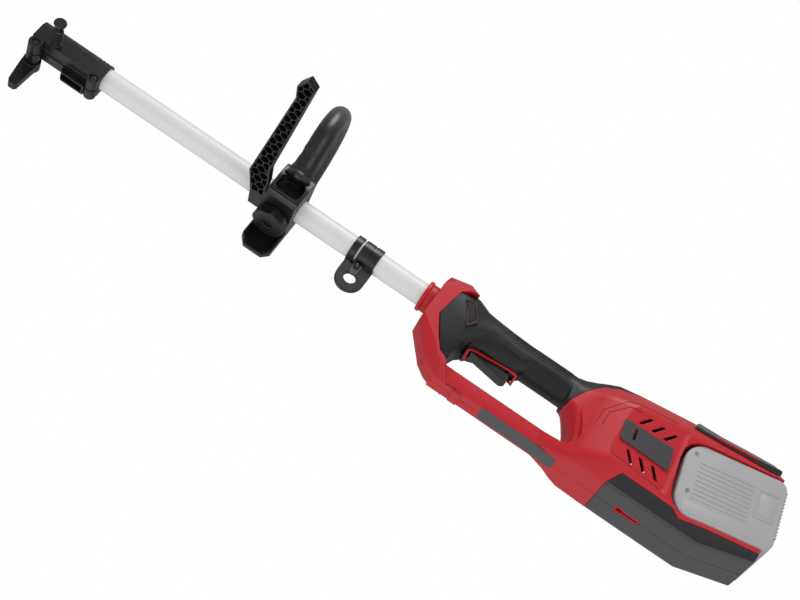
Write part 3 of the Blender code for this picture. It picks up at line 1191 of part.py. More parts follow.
def coupler(side, name):
    """One half of the shaft coupler, clamped round the tube's end."""
    half = add_part(name, rod(COUPLER_R, (COUPLER_REAR, 0, 0), (COUPLER_FRONT, 0, 0), 36), BLACK)
    skirt = [(COUPLER_REAR, mm(4)), (COUPLER_REAR, COUPLER_EDGE), (COUPLER_FRONT, COUPLER_EDGE),
             (COUPLER_FRONT, mm(4))]
    join(half, slab(skirt, "XZ", -COUPLER_HALF, COUPLER_HALF))
    join(half, rod(CLAMP_BOSS_R, (CLAMP_X, -COUPLER_HALF, CLAMP_Z),
                   (CLAMP_X, COUPLER_HALF, CLAMP_Z), 28))
    join(half, rod(mm(7), (REAR_SCREW_X, -COUPLER_HALF, REAR_SCREW_Z),
                   (REAR_SCREW_X, COUPLER_HALF, REAR_SCREW_Z), 24))
    if side < 0:
        tray = [(mm(430), mm(-12)), (mm(430), mm(-24)), (mm(459), mm(-24)), (mm(462), mm(-20)),
                (mm(462), mm(-12))]
        join(half, slab(tray, "XZ", -COUPLER_HALF, mm(-1)))
        cut(half, block(mm(432.5, -13.5, -30), mm(459.5, -3.5, -17)))
    for k in range(3):
        x = COUPLER_REAR + mm(4 + 5 * k)
        cut(half, block((x, mm(4), mm(8)), (x + mm(2), mm(20), mm(30))))
    cut(half, rod(TUBE_R + GAP, (COUPLER_REAR - mm(5), 0, 0), (COUPLER_FRONT + mm(5), 0, 0), 36))
    slot = -TUBE_R - mm(8)
    cut(half, block((COUPLER_REAR - mm(2), mm(-0.9), slot - mm(20)),
                    (COUPLER_FRONT + mm(2), mm(0.9), mm(-8))))
    cut(half, rod(mm(3.3), (CLAMP_X, mm(-30), CLAMP_Z), (CLAMP_X, mm(30), CLAMP_Z), 16))
    cut(half, rod(mm(4.7), (CLAMP_X, COUPLER_HALF - mm(5), CLAMP_Z), (CLAMP_X, mm(30), CLAMP_Z), 16))
    cut(half, rod(mm(2.3), (REAR_SCREW_X, mm(-30), REAR_SCREW_Z),
                  (REAR_SCREW_X, mm(30), REAR_SCREW_Z), 16))
    cut(half, rod(mm(4.9), (REAR_SCREW_X, COUPLER_HALF - mm(3), REAR_SCREW_Z),
                  (REAR_SCREW_X, mm(30), REAR_SCREW_Z), 16))
    if side > 0:
        cut(half, rod(PIN_R + GAP, (PIN_X, 0, PIN_Z), (PIN_X, mm(30), PIN_Z), 16))
    keep(half, half_space(side))
    return half


def coupler_hardware():
    """Wing knob with its bolt, rear clamp screw, push pin and the pin's spring."""
    pivot = (CLAMP_X, 0, CLAMP_Z)
    near = -COUPLER_HALF - GAP
    far = near - WING_HUB_LENGTH
    knob = add_part("coupler_knob", rod(WING_HUB_R, (CLAMP_X, far, CLAMP_Z),
                                        (CLAMP_X, near, CLAMP_Z), 28), BLACK, pivot)
    z0, z1 = CLAMP_Z, CLAMP_Z - WING_LENGTH
    wing = [(CLAMP_X - mm(9), z0), (CLAMP_X - mm(8.6), z0 - mm(10)), (CLAMP_X - mm(7), z1 + mm(3)),
            (CLAMP_X - mm(4), z1), (CLAMP_X + mm(2), z1), (CLAMP_X + mm(5), z1 + mm(4)),
            (CLAMP_X + mm(9.5), z0 - mm(8)), (CLAMP_X + mm(9.5), z0)]
    join(knob, slab(wing, "XZ", far + mm(2), near - mm(1.5)))
    cut(knob, rod(mm(3), (CLAMP_X, near - mm(8), CLAMP_Z), (CLAMP_X, mm(5), CLAMP_Z), 16))
    stud = add_part("knob_stud", rod(mm(2.7), (CLAMP_X, near - mm(7.5), CLAMP_Z),
                                     (CLAMP_X, COUPLER_HALF - mm(1.5), CLAMP_Z), 16), STEEL)
    nut = add_part("stud_nut", rod(mm(4.3), (CLAMP_X, COUPLER_HALF - mm(4.7), CLAMP_Z),
                                   (CLAMP_X, COUPLER_HALF - mm(1), CLAMP_Z), 6), STEEL)
    cut(nut, rod(mm(3), (CLAMP_X, 0, CLAMP_Z), (CLAMP_X, mm(30), CLAMP_Z), 16))
    seat = COUPLER_HALF - mm(2.7)
    screw("rear_clamp_screw", mm(4.6), mm(2), (REAR_SCREW_X, seat, REAR_SCREW_Z), (0, -1, 0),
          mm(2.6), seat + COUPLER_HALF - mm(1))
    push_pin()
    return stud


def push_pin():
    """Push pin with a trumpet head, and the spring between head and coupler."""
    flare = PIN_HEAD_FACE - mm(9)
    turned("push_pin", [
        (0, PIN_HEAD_FACE), (PIN_HEAD_R - mm(1.2), PIN_HEAD_FACE),
        (PIN_HEAD_R, PIN_HEAD_FACE - mm(1.6)), (PIN_HEAD_R - mm(0.6), PIN_HEAD_FACE - mm(3.4)),
        (mm(4.6), flare), (mm(4.2), flare - mm(5)), (mm(5.6), flare - mm(6)),
        (mm(5.6), flare - mm(7)), (PIN_R, flare - mm(7)), (PIN_R, PIN_TIP + mm(1)),
        (PIN_R - mm(1), PIN_TIP), (0, PIN_TIP)],
        STEEL, (PIN_X, 0, PIN_Z), (0, 1, 0), 24)
    low = COUPLER_HALF + SPRING_WIRE_R + GAP
    high = flare - mm(7) - SPRING_WIRE_R - GAP
    points = []
    per_turn = 10
    count = SPRING_TURNS * per_turn
    for k in range(count + 1):
        angle = 2 * pi * k / per_turn
        points.append(Vector((PIN_X + SPRING_R * cos(angle), low + (high - low) * k / count,
                              PIN_Z + SPRING_R * sin(angle))))
    least = min((points[i] - points[j]).length for i in range(len(points))
                for j in range(i + per_turn // 2, len(points)))
    print("pin_spring: least gap between turns %.2f mm" % ((least - 2 * SPRING_WIRE_R) * 1000))
    curve = bpy.data.curves.new("pin_spring", "CURVE")
    curve.dimensions = "3D"
    curve.bevel_depth = SPRING_WIRE_R
    curve.bevel_resolution = 1
    curve.use_fill_caps = True
    spline = curve.splines.new("POLY")
    spline.points.add(count)
    for point, place in zip(spline.points, points):
        point.co = (*place, 1)
    coil = bpy.data.objects.new("pin_spring", curve)
    coil.parent = TOOL
    coil.data.materials.append(material(STEEL))
    PARTS.objects.link(coil)


def stand_on_origin():
    """Move the whole tool so that its box stands on the origin."""
    bpy.context.view_layer.update()
    graph = bpy.context.evaluated_depsgraph_get()
    low, high = Vector((1e9,) * 3), Vector((-1e9,) * 3)
    for part in PARTS.objects:
        if part.type not in {"MESH", "CURVE"}:
            continue
        shown = part.evaluated_get(graph)
        mesh = shown.to_mesh()
        for vertex in mesh.vertices:
            place = part.matrix_world @ vertex.co
            low = Vector(map(min, low, place))
            high = Vector(map(max, high, place))
        shown.to_mesh_clear()
    TOOL.location = (-(low.x + high.x) / 2, -(low.y + high.y) / 2, -low.z)
    print("tool stands at %.5f %.5f %.5f" % tuple(TOOL.location))


housing(1, "housing_left")
housing(-1, "housing_right")
bottom_cover(1, "bottom_cover_left")
bottom_cover(-1, "bottom_cover_right")
keyhole_rim()
grip(1, "grip_left")
grip(-1, "grip_right")
trigger_group()
collar()
drive_line()
electronics()
battery()
top_pad()
side_plate()
housing_screws()
loop_handle()
handle_clamp()
barrier_bar()
hanger()
coupler(1, "coupler_left")
coupler(-1, "coupler_right")
coupler_hardware()
stand_on_origin()
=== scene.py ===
import json
from math import cos, hypot, pi, radians, sin

import bmesh
import bpy
from mathutils import Matrix, Vector
from mathutils.bvhtree import BVHTree


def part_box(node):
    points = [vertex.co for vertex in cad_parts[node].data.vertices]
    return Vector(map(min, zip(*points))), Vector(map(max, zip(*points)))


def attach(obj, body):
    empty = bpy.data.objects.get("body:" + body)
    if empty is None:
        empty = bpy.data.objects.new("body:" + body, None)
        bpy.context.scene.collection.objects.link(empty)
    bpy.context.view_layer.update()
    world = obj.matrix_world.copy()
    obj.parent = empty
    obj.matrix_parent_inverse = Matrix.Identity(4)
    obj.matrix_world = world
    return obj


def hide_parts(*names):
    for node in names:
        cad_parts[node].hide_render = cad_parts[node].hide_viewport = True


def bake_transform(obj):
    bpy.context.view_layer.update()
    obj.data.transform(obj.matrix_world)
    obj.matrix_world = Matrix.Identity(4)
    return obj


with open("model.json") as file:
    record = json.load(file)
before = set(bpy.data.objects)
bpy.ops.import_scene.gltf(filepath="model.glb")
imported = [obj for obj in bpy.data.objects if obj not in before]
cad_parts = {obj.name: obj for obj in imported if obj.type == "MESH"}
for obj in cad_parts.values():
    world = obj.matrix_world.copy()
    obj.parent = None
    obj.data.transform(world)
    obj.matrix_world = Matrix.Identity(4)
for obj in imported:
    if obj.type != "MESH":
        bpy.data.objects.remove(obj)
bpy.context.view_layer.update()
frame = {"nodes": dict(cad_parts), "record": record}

nodes = frame["nodes"]
record_bodies = frame["record"]["behaviour"]["bodies"]
body_of = {name: body for body, names in record_bodies.items() for name in names}

# Camera: a long lens below the tool on its left side, rolled so that the tool hangs across
# the picture from the coupler at the top left to the battery at the bottom right. Places are
# in millimetres from the mouth of the tube: X to the coupler, Y to the operator's left, Z up.
tube_low, tube_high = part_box("shaft_tube")
TUBE_MOUTH = (tube_low + tube_high) / 2
TUBE_MOUTH.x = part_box("tube_collar")[1].x


def at(x, y, z):
    """The point that lies x, y, z millimetres from the tube's mouth, in the frame's metres."""
    return TUBE_MOUTH + Vector((x, y, z)) * 0.001


CAMERA_PLACE = at(-108.389, 1789.578, -1186.899)
CAMERA_TURN = radians(4)
CAMERA_TILT = radians(33)
CAMERA_ROLL = radians(36.4056)
CAMERA_LENS = 90
CAMERA_SENSOR = 36
SIGHT_END = 30
camera = bpy.data.objects.new("camera", bpy.data.cameras.new("camera"))
bpy.context.scene.collection.objects.link(camera)
sight = Vector((sin(CAMERA_TURN) * cos(CAMERA_TILT), -cos(CAMERA_TURN) * cos(CAMERA_TILT),
                sin(CAMERA_TILT)))
level = sight.cross(Vector((0, 0, 1))).normalized()
upright = level.cross(sight)
camera_right = cos(CAMERA_ROLL) * level + sin(CAMERA_ROLL) * upright
camera_up = -sin(CAMERA_ROLL) * level + cos(CAMERA_ROLL) * upright
camera_axes = Matrix((camera_right, camera_up, -sight)).transposed().to_4x4()
camera.matrix_world = Matrix.Translation(CAMERA_PLACE) @ camera_axes
camera.data.lens = CAMERA_LENS
camera.data.sensor_width = CAMERA_SENSOR
camera.data.clip_end = SIGHT_END
bpy.context.scene.camera = camera

# Studio: a white room, dimmer as a light than it looks, three large soft lamps and a pale
# floor of painted board far below the tool.
WHITE = (1, 1, 1, 1)
ROOM_LIGHT = 0.36
FLOOR_GLOW = 0.42
FLOOR_LEVEL = -2600
FLOOR_HALF = 8
COAT_ROUGHNESS = 0.25
NOISE_DETAIL = 3
BUMP_STRENGTH = 0.8
bpy.context.scene.view_settings.view_transform = "Standard"
studio = bpy.data.worlds.new("studio")
studio.use_nodes = True
studio_make = studio.node_tree.nodes.new
studio_link = studio.node_tree.links.new
room_light = studio.node_tree.nodes["Background"]
room_light.inputs["Color"].default_value = WHITE
room_light.inputs["Strength"].default_value = ROOM_LIGHT
white_wall = studio_make("ShaderNodeBackground")
white_wall.inputs["Color"].default_value = WHITE
wall_or_light = studio_make("ShaderNodeMixShader")
studio_link(studio_make("ShaderNodeLightPath").outputs["Is Camera Ray"],
            wall_or_light.inputs["Fac"])
studio_link(room_light.outputs["Background"], wall_or_light.inputs[1])
studio_link(white_wall.outputs["Background"], wall_or_light.inputs[2])
studio_link(wall_or_light.outputs["Shader"],
            studio.node_tree.nodes["World Output"].inputs["Surface"])
bpy.context.scene.world = studio


def soft_lamp(name, place, aim, size, power):
    """A square area lamp at place, facing aim."""
    lamp = bpy.data.objects.new(name, bpy.data.lights.new(name, "AREA"))
    bpy.context.scene.collection.objects.link(lamp)
    lamp.data.size = size
    lamp.data.energy = power
    facing = (aim - place).to_track_quat("-Z", "Y").to_matrix().to_4x4()
    lamp.matrix_world = Matrix.Translation(place) @ facing


soft_lamp("key_lamp", at(300, 900, 1300), at(-50, 0, 0), size=0.8, power=15)
soft_lamp("fill_lamp", at(-900, 1500, -300), at(-200, 0, 0), size=1.2, power=6)
soft_lamp("low_lamp", at(500, 500, -1300), at(-100, 0, 0), size=0.9, power=3)


def finish(name, colour, roughness, metallic=0.0, coat=0.0, shine=0.5, drift=0.06, blotch=30,
           grain=0.6, depth=0.02, rub=0.06, stretch=(1, 1, 1)):
    """A finish whose colour drifts over blotches, whose gloss varies, and with a fine grain.

    Blotch, grain and depth are in millimetres; stretch squeezes the grain along each axis.
    """
    material = bpy.data.materials.new(name)
    material.use_nodes = True
    make = material.node_tree.nodes.new
    link = material.node_tree.links.new
    shader = material.node_tree.nodes["Principled BSDF"]
    shader.inputs["Metallic"].default_value = metallic
    shader.inputs["Coat Weight"].default_value = coat
    shader.inputs["Specular IOR Level"].default_value = shine
    shader.inputs["Coat Roughness"].default_value = COAT_ROUGHNESS
    place = make("ShaderNodeTexCoord")
    squeeze = make("ShaderNodeMapping")
    squeeze.inputs["Scale"].default_value = stretch
    link(place.outputs["Object"], squeeze.inputs["Vector"])
    noises = []
    for size in (blotch, blotch / 4, grain):
        noise = make("ShaderNodeTexNoise")
        noise.inputs["Scale"].default_value = 1000 / size
        noise.inputs["Detail"].default_value = NOISE_DETAIL
        link(squeeze.outputs["Vector"], noise.inputs["Vector"])
        noises.append(noise)
    blotches, rubs, grains = noises
    tint = make("ShaderNodeMix")
    tint.data_type = "RGBA"
    tint.inputs["A"].default_value = (*[value * (1 - drift) for value in colour], 1)
    tint.inputs["B"].default_value = (*[value * (1 + drift) for value in colour], 1)
    link(blotches.outputs["Fac"], tint.inputs["Factor"])
    link(tint.outputs["Result"], shader.inputs["Base Color"])
    gloss = make("ShaderNodeMapRange")
    gloss.inputs["To Min"].default_value = roughness - rub
    gloss.inputs["To Max"].default_value = roughness + rub
    link(rubs.outputs["Fac"], gloss.inputs["Value"])
    link(gloss.outputs["Result"], shader.inputs["Roughness"])
    bump = make("ShaderNodeBump")
    bump.inputs["Strength"].default_value = BUMP_STRENGTH
    bump.inputs["Distance"].default_value = depth / 1000
    link(grains.outputs["Fac"], bump.inputs["Height"])
    link(bump.outputs["Normal"], shader.inputs["Normal"])
    return material


floor_mesh = bmesh.new()
bmesh.ops.create_grid(floor_mesh, x_segments=1, y_segments=1, size=FLOOR_HALF)
bmesh.ops.translate(floor_mesh, verts=floor_mesh.verts, vec=at(0, 0, FLOOR_LEVEL))
floor = bpy.data.objects.new("studio_floor", bpy.data.meshes.new("studio_floor"))
floor_mesh.to_mesh(floor.data)
floor_mesh.free()
pale_board = finish("pale_painted_board", (0.86, 0.86, 0.85), 0.6, drift=0.02, blotch=400,
                    grain=8, depth=0.1)
board_shader = pale_board.node_tree.nodes["Principled BSDF"]
board_shader.inputs["Emission Color"].default_value = WHITE
board_shader.inputs["Emission Strength"].default_value = FLOOR_GLOW
floor.data.materials.append(pale_board)
bpy.context.scene.collection.objects.link(floor)

# Shaft: a drawn aluminium tube with a white-grey powder coat, pushed into the collar. The
# drive shaft turns inside it in nylon sleeves, between the motor's coupling and a square socket.
MERGE_GAP = 0.000003             # metres: a CAD node's loose triangles meet closer than this
FLAT_TURN = radians(0.3)         # faces that turn by less than this are one flat
NORMAL_WEIGHT = 80               # how far the larger faces lead the shading


def paint(material, *names):
    """Gives CAD nodes this material."""
    for name in names:
        nodes[name].data.materials.clear()
        nodes[name].data.materials.append(material)


def merged_copy(name):
    """A CAD node's mesh with its loose triangles joined, to be worked on."""
    shape = bmesh.new()
    shape.from_mesh(nodes[name].data)
    bmesh.ops.remove_doubles(shape, verts=shape.verts, dist=MERGE_GAP)
    return shape


def join_flats(shape):
    """Makes one face of the triangles of each flat."""
    bmesh.ops.dissolve_limit(shape, angle_limit=FLAT_TURN, verts=shape.verts,
                             edges=shape.edges, use_dissolve_boundaries=False)


def everything(shape):
    """All the parts of a mesh, as bisect_plane wants them."""
    return shape.verts[:] + shape.edges[:] + shape.faces[:]


def grown_verts(grown):
    """The vertices among the parts that an extrude has made."""
    return [part for part in grown if isinstance(part, bmesh.types.BMVert)]


def add_piece(name, shape, material, body):
    """Makes a visible piece of a finished mesh, which rides on a body if one is given."""
    piece = bpy.data.objects.new(name, bpy.data.meshes.new(name))
    bpy.context.scene.collection.objects.link(piece)
    shape.to_mesh(piece.data)
    shape.free()
    piece.data.materials.append(material)
    piece.data.shade_smooth()
    if body:
        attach(piece, body)
    return piece


def round_edges(piece, edge):
    """Rounds the edges that carry a bevel weight, and keeps the flats flat in the shading."""
    rounding = piece.modifiers.new("edges", "BEVEL")
    rounding.width = edge / 1000
    rounding.segments = 2
    rounding.limit_method = "WEIGHT"
    rounding.miter_outer = "MITER_ARC"
    rounding.use_clamp_overlap = False
    evening = piece.modifiers.new("evening", "WEIGHTED_NORMAL")
    evening.keep_sharp = True
    evening.weight = NORMAL_WEIGHT


def weigh_edges(shape, crease, line_region=None, line_crease=8):
    """Marks the edges to round: those sharper than crease degrees, or finer ones in a region."""
    weights = shape.edges.layers.float.new("bevel_weight_edge")
    for edge in shape.edges:
        if len(edge.link_faces) != 2:
            continue
        turn = edge.calc_face_angle()
        if turn > radians(crease) or (line_region and turn > radians(line_crease)
                                      and all(line_region(vert.co) for vert in edge.verts)):
            edge[weights] = 1


def skin(material, slot, *names, edge=0.5, crease=28, cut_up=False, line_region=None):
    """Stands a copy of each CAD node in its place, with rounded edges and smooth curves.

    Where cut_up is set, faces with holes and notches are cut into triangles first.
    """
    for name in names:
        shape = merged_copy(name)
        join_flats(shape)
        if cut_up:
            many_sided = [face for face in shape.faces if len(face.verts) > 4]
            bmesh.ops.triangulate(shape, faces=many_sided)
        weigh_edges(shape, crease, line_region)
        piece = add_piece(name + "_skin", shape, material, body_of[name])
        round_edges(piece, edge)
        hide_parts(name)


tube_coat = finish("white_powder_coat", (0.74, 0.74, 0.74), 0.42, drift=0.02, blotch=60,
                   grain=0.9, depth=0.015)
skin(tube_coat, "satin_tube", "shaft_tube", edge=0.3)
bright_steel = finish("turned_bright_steel", (0.56, 0.56, 0.57), 0.28, metallic=1.0,
                      drift=0.05, blotch=8, grain=0.4, depth=0.004, stretch=(1, 12, 12))
paint(bright_steel, "drive_shaft", "drive_socket", "shaft_coupling", "front_bearing")
nylon = finish("natural_nylon", (0.72, 0.7, 0.63), 0.5, drift=0.04, blotch=6, grain=0.5,
               depth=0.01)
paint(nylon, "shaft_bushing_1", "shaft_bushing_2")

# Motor: a wound stator round a rotor of stacked steel sheets, in a cast aluminium bracket
# and a nylon cradle, with a moulded fan on the same shaft and a steel bearing at its end.
copper = finish("enamelled_copper", (0.56, 0.2, 0.07), 0.35, metallic=1.0, drift=0.15,
                blotch=3, grain=0.7, depth=0.15, stretch=(0.3, 1, 1))
paint(copper, "motor_stator")
laminations = finish("stacked_rotor_steel", (0.22, 0.22, 0.23), 0.4, metallic=1.0, drift=0.1,
                     blotch=4, grain=0.5, depth=0.08, stretch=(3, 0.2, 0.2))
paint(laminations, "motor_rotor")
cast_metal = finish("cast_aluminium", (0.5, 0.5, 0.51), 0.55, metallic=1.0, drift=0.08,
                    blotch=9, grain=1.2, depth=0.05)
paint(cast_metal, "motor_bracket")
filled_nylon = finish("glass_filled_nylon", (0.02, 0.02, 0.022), 0.5, drift=0.15, blotch=12,
                      grain=0.5, depth=0.03)
paint(filled_nylon, "motor_cradle", "cooling_fan")
paint(bright_steel, "motor_bearing")

# Switch, wires and controller: a sleeved loom runs from the boxed switch through the grip to
# a lacquered circuit board in the bottom cover.
paint(filled_nylon, "switch_module")
sleeve = finish("rubber_sleeve", (0.03, 0.03, 0.03), 0.7, drift=0.12, blotch=5, grain=0.8,
                depth=0.05)
paint(sleeve, "switch_wires")
lacquer = finish("green_solder_lacquer", (0.02, 0.14, 0.06), 0.3, coat=0.3, drift=0.35,
                 blotch=4, grain=1.5, depth=0.05)
paint(lacquer, "controller_board")

# Housing: two red ABS halves, injection moulded with a fine spark texture and screwed
# together from the right. The collar, the trigger's surround and the keyhole's rim are red too.
PANEL_LOW = (-330, 44.2, -68)    # the side panels' borders, with Y away from the middle plane
PANEL_HIGH = (-222, 60, 20)
red = finish("red_moulded_abs", (0.5, 0.014, 0.024), 0.4, shine=0.3, drift=0.05, blotch=35,
             grain=0.5, depth=0.012)


def on_side_panel(point):
    """Whether a point lies where the side panels' shallow borders are."""
    x, y, z = (point - TUBE_MOUTH) * 1000
    return all(low < value < high for low, value, high in zip(PANEL_LOW, (x, abs(y), z),
                                                              PANEL_HIGH))


skin(red, "red_plastic", "housing_left", "housing_right", cut_up=True,
     line_region=on_side_panel)
skin(red, "red_plastic", "tube_collar", "trigger_surround", "keyhole_rim", edge=0.35,
     cut_up=True)

# Guard arm's plate: a bare dark foil plate with rounded corners, glued under the arm across
# the seam, further to the left than to the right, and following the arm's bend.
FOIL_LEFT = 13.3
FOIL_RIGHT = -9
FOIL_FRONT = -120
FOIL_REAR = -214
FOIL_THICK = 0.5
FOIL_CORNER = 2.5
FOIL_STEP = 8
BELOW_ARM = -120
SEAM_CLEAR = 3                   # the arm's height is taken beside the seam


def surface_of(name):
    """The surface of a CAD node, for rays to meet."""
    mesh = nodes[name].data
    return BVHTree.FromPolygons([vert.co for vert in mesh.vertices],
                                [face.vertices for face in mesh.polygons])


def first_hit(surfaces, start, direction):
    """Where a ray from start first meets one of the surfaces."""
    hits = [surface.ray_cast(start, direction) for surface in surfaces]
    return min((hit for hit in hits if hit[0] is not None), key=lambda hit: hit[3])[0]


housing_surfaces = [surface_of("housing_left"), surface_of("housing_right")]
foil = bmesh.new()
bmesh.ops.create_cube(foil, size=1)
bmesh.ops.scale(foil, verts=foil.verts,
                vec=(FOIL_FRONT - FOIL_REAR, FOIL_LEFT - FOIL_RIGHT, FOIL_THICK))
bmesh.ops.translate(foil, verts=foil.verts,
                    vec=((FOIL_FRONT + FOIL_REAR) / 2, (FOIL_LEFT + FOIL_RIGHT) / 2, 0))
upright_edges = [edge for edge in foil.edges
                 if edge.verts[0].co.z * edge.verts[1].co.z < 0]
bmesh.ops.bevel(foil, geom=upright_edges, offset=FOIL_CORNER, segments=4, profile=0.5,
                affect="EDGES", material=-1)
for station in range(FOIL_REAR + FOIL_STEP, FOIL_FRONT, FOIL_STEP):
    bmesh.ops.bisect_plane(foil, geom=everything(foil), plane_co=(station, 0, 0),
                           plane_no=(1, 0, 0))
for vert in foil.verts:
    x, y, z = vert.co
    under = first_hit(housing_surfaces, at(x, SEAM_CLEAR, BELOW_ARM), Vector((0, 0, 1)))
    vert.co = (at(x, y, 0).x, at(x, y, 0).y, under.z + z / 1000)
weigh_edges(foil, crease=30)
dark_foil = finish("dark_grey_foil", (0.06, 0.06, 0.065), 0.45, drift=0.08, blotch=14,
                   grain=0.35, depth=0.01)
round_edges(add_piece("arm_plate", foil, dark_foil, "housing"), 0.15)

# Side plate: a bare dark moulded plate clipped into the left side panel, with one slot
# through which the red housing shows.
plate_grey = finish("dark_grey_nylon", (0.042, 0.042, 0.047), 0.42, drift=0.08, blotch=12,
                    grain=0.4, depth=0.02)
skin(plate_grey, "dark_grey_plastic", "side_plate", edge=0.3)

# Bottom cover: two dark grey halves that close the controller's room, satin below and with a
# coarser spark texture on their flanks, which are painted darker as painted shade, and a keyhole
# by which the tool hangs on a wall.
cover_grey = finish("charcoal_moulded_abs", (0.036, 0.036, 0.041), 0.34, drift=0.1,
                    blotch=30, grain=0.5, depth=0.02)
skin(cover_grey, "dark_grey_plastic", "bottom_cover_left", "bottom_cover_right", edge=0.45,
     cut_up=True)
# Painted shade: the sideways-facing flanks take a darker colour than the undersides.
painted_shade_flank = finish("flank_painted_shade_abs", (0.014, 0.014, 0.017), 0.45, shine=0.35, drift=0.1,
                     blotch=30, grain=0.8, depth=0.05)
for name in ("bottom_cover_left_skin", "bottom_cover_right_skin"):
    cover = bpy.data.objects[name]
    cover.data.materials.append(painted_shade_flank)
    cover.data.set_sharp_from_angle(angle=radians(8))
    for face in cover.data.polygons:
        face.material_index = abs(face.normal.y) > 0.5

# Grip: two black halves with a soft rubber skin moulded over them, which ends in fine
# parallel ribs along both shoulders and in a single rib under the palm.
RIB_RADIUS = 0.85
RIB_SUNK = 0.2
RIB_STEPS = 18
RIB_TIP = 0.3                    # a rib's ends, as a share of its radius
RIB_START = 60                   # rays fall on the grip from this far off the tube's axis
SHOULDER_RIBS = [(18, 20, -108, -182), (30, 30, -102, -186), (42, 42, -98, -188),
                 (54, 54, -98, -188)]         # angle above level and X, at front and rear
PALM_RIB = (-20, -38, -96, -176)
soft = finish("soft_overmould", (0.009, 0.009, 0.011), 0.42, shine=0.3, drift=0.12,
              blotch=25, grain=0.45, depth=0.05)
skin(soft, "soft_grip", "grip_left", "grip_right", edge=0.3, crease=32)


def swept(shape, path, radii, sides):
    """Adds a round rod along a path, with a radius at each of its points."""
    ahead = [(path[min(k + 1, len(path) - 1)] - path[max(k - 1, 0)]).normalized()
             for k in range(len(path))]
    ring = bmesh.ops.create_circle(shape, cap_ends=True, segments=sides, radius=1)["verts"]
    turn = Vector((0, 0, 1)).rotation_difference(ahead[0]).to_matrix().to_4x4()
    bmesh.ops.transform(shape, verts=ring, matrix=Matrix.Translation(path[0]) @ turn
                        @ Matrix.Scale(radii[0], 4))
    cap = ring[0].link_faces[0]
    for k in range(1, len(path)):
        grown = bmesh.ops.extrude_face_region(shape, geom=[cap])["geom"]
        if k > 1:
            bmesh.ops.delete(shape, geom=[cap], context="FACES_ONLY")
        ring = grown_verts(grown)
        cap = next(part for part in grown if isinstance(part, bmesh.types.BMFace)
                   and all(vert in ring for vert in part.verts))
        turn = ahead[k - 1].rotation_difference(ahead[k]).to_matrix().to_4x4()
        bmesh.ops.transform(shape, verts=ring, matrix=Matrix.Translation(path[k]) @ turn
                            @ Matrix.Scale(radii[k] / radii[k - 1], 4)
                            @ Matrix.Translation(-path[k - 1]))


for side, label in ((1, "left"), (-1, "right")):
    grip_surface = surface_of("grip_" + label)
    grip_ribs = bmesh.new()
    for front_angle, rear_angle, front, rear in (*SHOULDER_RIBS, PALM_RIB):
        path = []
        for k in range(RIB_STEPS + 1):
            part = k / RIB_STEPS
            angle = radians(front_angle + (rear_angle - front_angle) * part)
            outwards = Vector((0, side * cos(angle), sin(angle)))
            start = at(front + (rear - front) * part, 0, 0) + outwards * RIB_START / 1000
            path.append(first_hit([grip_surface], start, -outwards)
                        - outwards * RIB_SUNK / 1000)
        taper = [RIB_RADIUS / 1000 * (RIB_TIP + (1 - RIB_TIP) * min(1, k / 2, (RIB_STEPS - k) / 2))
                 for k in range(RIB_STEPS + 1)]
        swept(grip_ribs, path, taper, sides=8)
    bmesh.ops.recalc_face_normals(grip_ribs, faces=grip_ribs.faces)
    add_piece("grip_ribs_" + label, grip_ribs, soft, "housing")

# Lock-off button: a black wedge that slides into the grip's left side, inside a thin rim
# of red, painted dark as painted shade round its edge.
BUTTON_RIM = [(-42.9, 12.3), (-51.9, 14.1), (-63.6, -3.6), (-58.6, -14.1)]   # X and Z
RIM_RADIUS = 0.4
RIM_STEPS = 8
LEFT_OF_GRIP = 60
matt_black = finish("matt_black_nylon", (0.005, 0.005, 0.006), 0.5, shine=0.25, drift=0.15,
                    blotch=12, grain=0.5, depth=0.03)
skin(matt_black, "black_plastic", "lock_button", edge=0.4)


def along(corners, steps):
    """Points that cut each stretch of a polyline into steps, without its very last corner."""
    for (x0, z0), (x1, z1) in zip(corners, corners[1:]):
        for k in range(steps):
            yield x0 + (x1 - x0) * k / steps, z0 + (z1 - z0) * k / steps


grip_surface = surface_of("grip_left")
path = [first_hit([grip_surface], at(x, LEFT_OF_GRIP, z), Vector((0, -1, 0)))
        for x, z in along(BUTTON_RIM + BUTTON_RIM[:1], RIM_STEPS)]
path.append(path[0])
rim = bmesh.new()
swept(rim, path, [RIM_RADIUS / 1000] * len(path), sides=6)
bmesh.ops.recalc_face_normals(rim, faces=rim.faces)
# Painted shade: the rim's dark red darkens the button's outline.
painted_shade_rim_red = finish("button_rim_painted_shade", (0.12, 0.008, 0.016), 0.35, drift=0.08, blotch=6,
                  grain=0.4, depth=0.01)
add_piece("button_rim", rim, painted_shade_rim_red, "housing")

# Trigger: a black moulded lever on a steel pin, with a soft edge for the finger, held down by
# a small wire spring that gives way under it.
black = finish("black_moulded_nylon", (0.0075, 0.0075, 0.009), 0.32, shine=0.42, drift=0.15,
               blotch=20, grain=0.5, depth=0.03)
skin(black, "black_plastic", "trigger", edge=0.7, crease=24)
paint(bright_steel, "trigger_pin")


def add_spring(name, material):
    """Stands a copy of a CAD spring in its place."""
    piece = add_piece(name + "_coil", merged_copy(name), material, None)
    piece.data.set_sharp_from_angle(angle=radians(50))
    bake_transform(piece)
    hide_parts(name)


spring_steel = finish("spring_wire", (0.3, 0.3, 0.31), 0.35, metallic=1.0, drift=0.1,
                      blotch=3, grain=0.3, depth=0.01)
add_spring("trigger_spring", spring_steel)
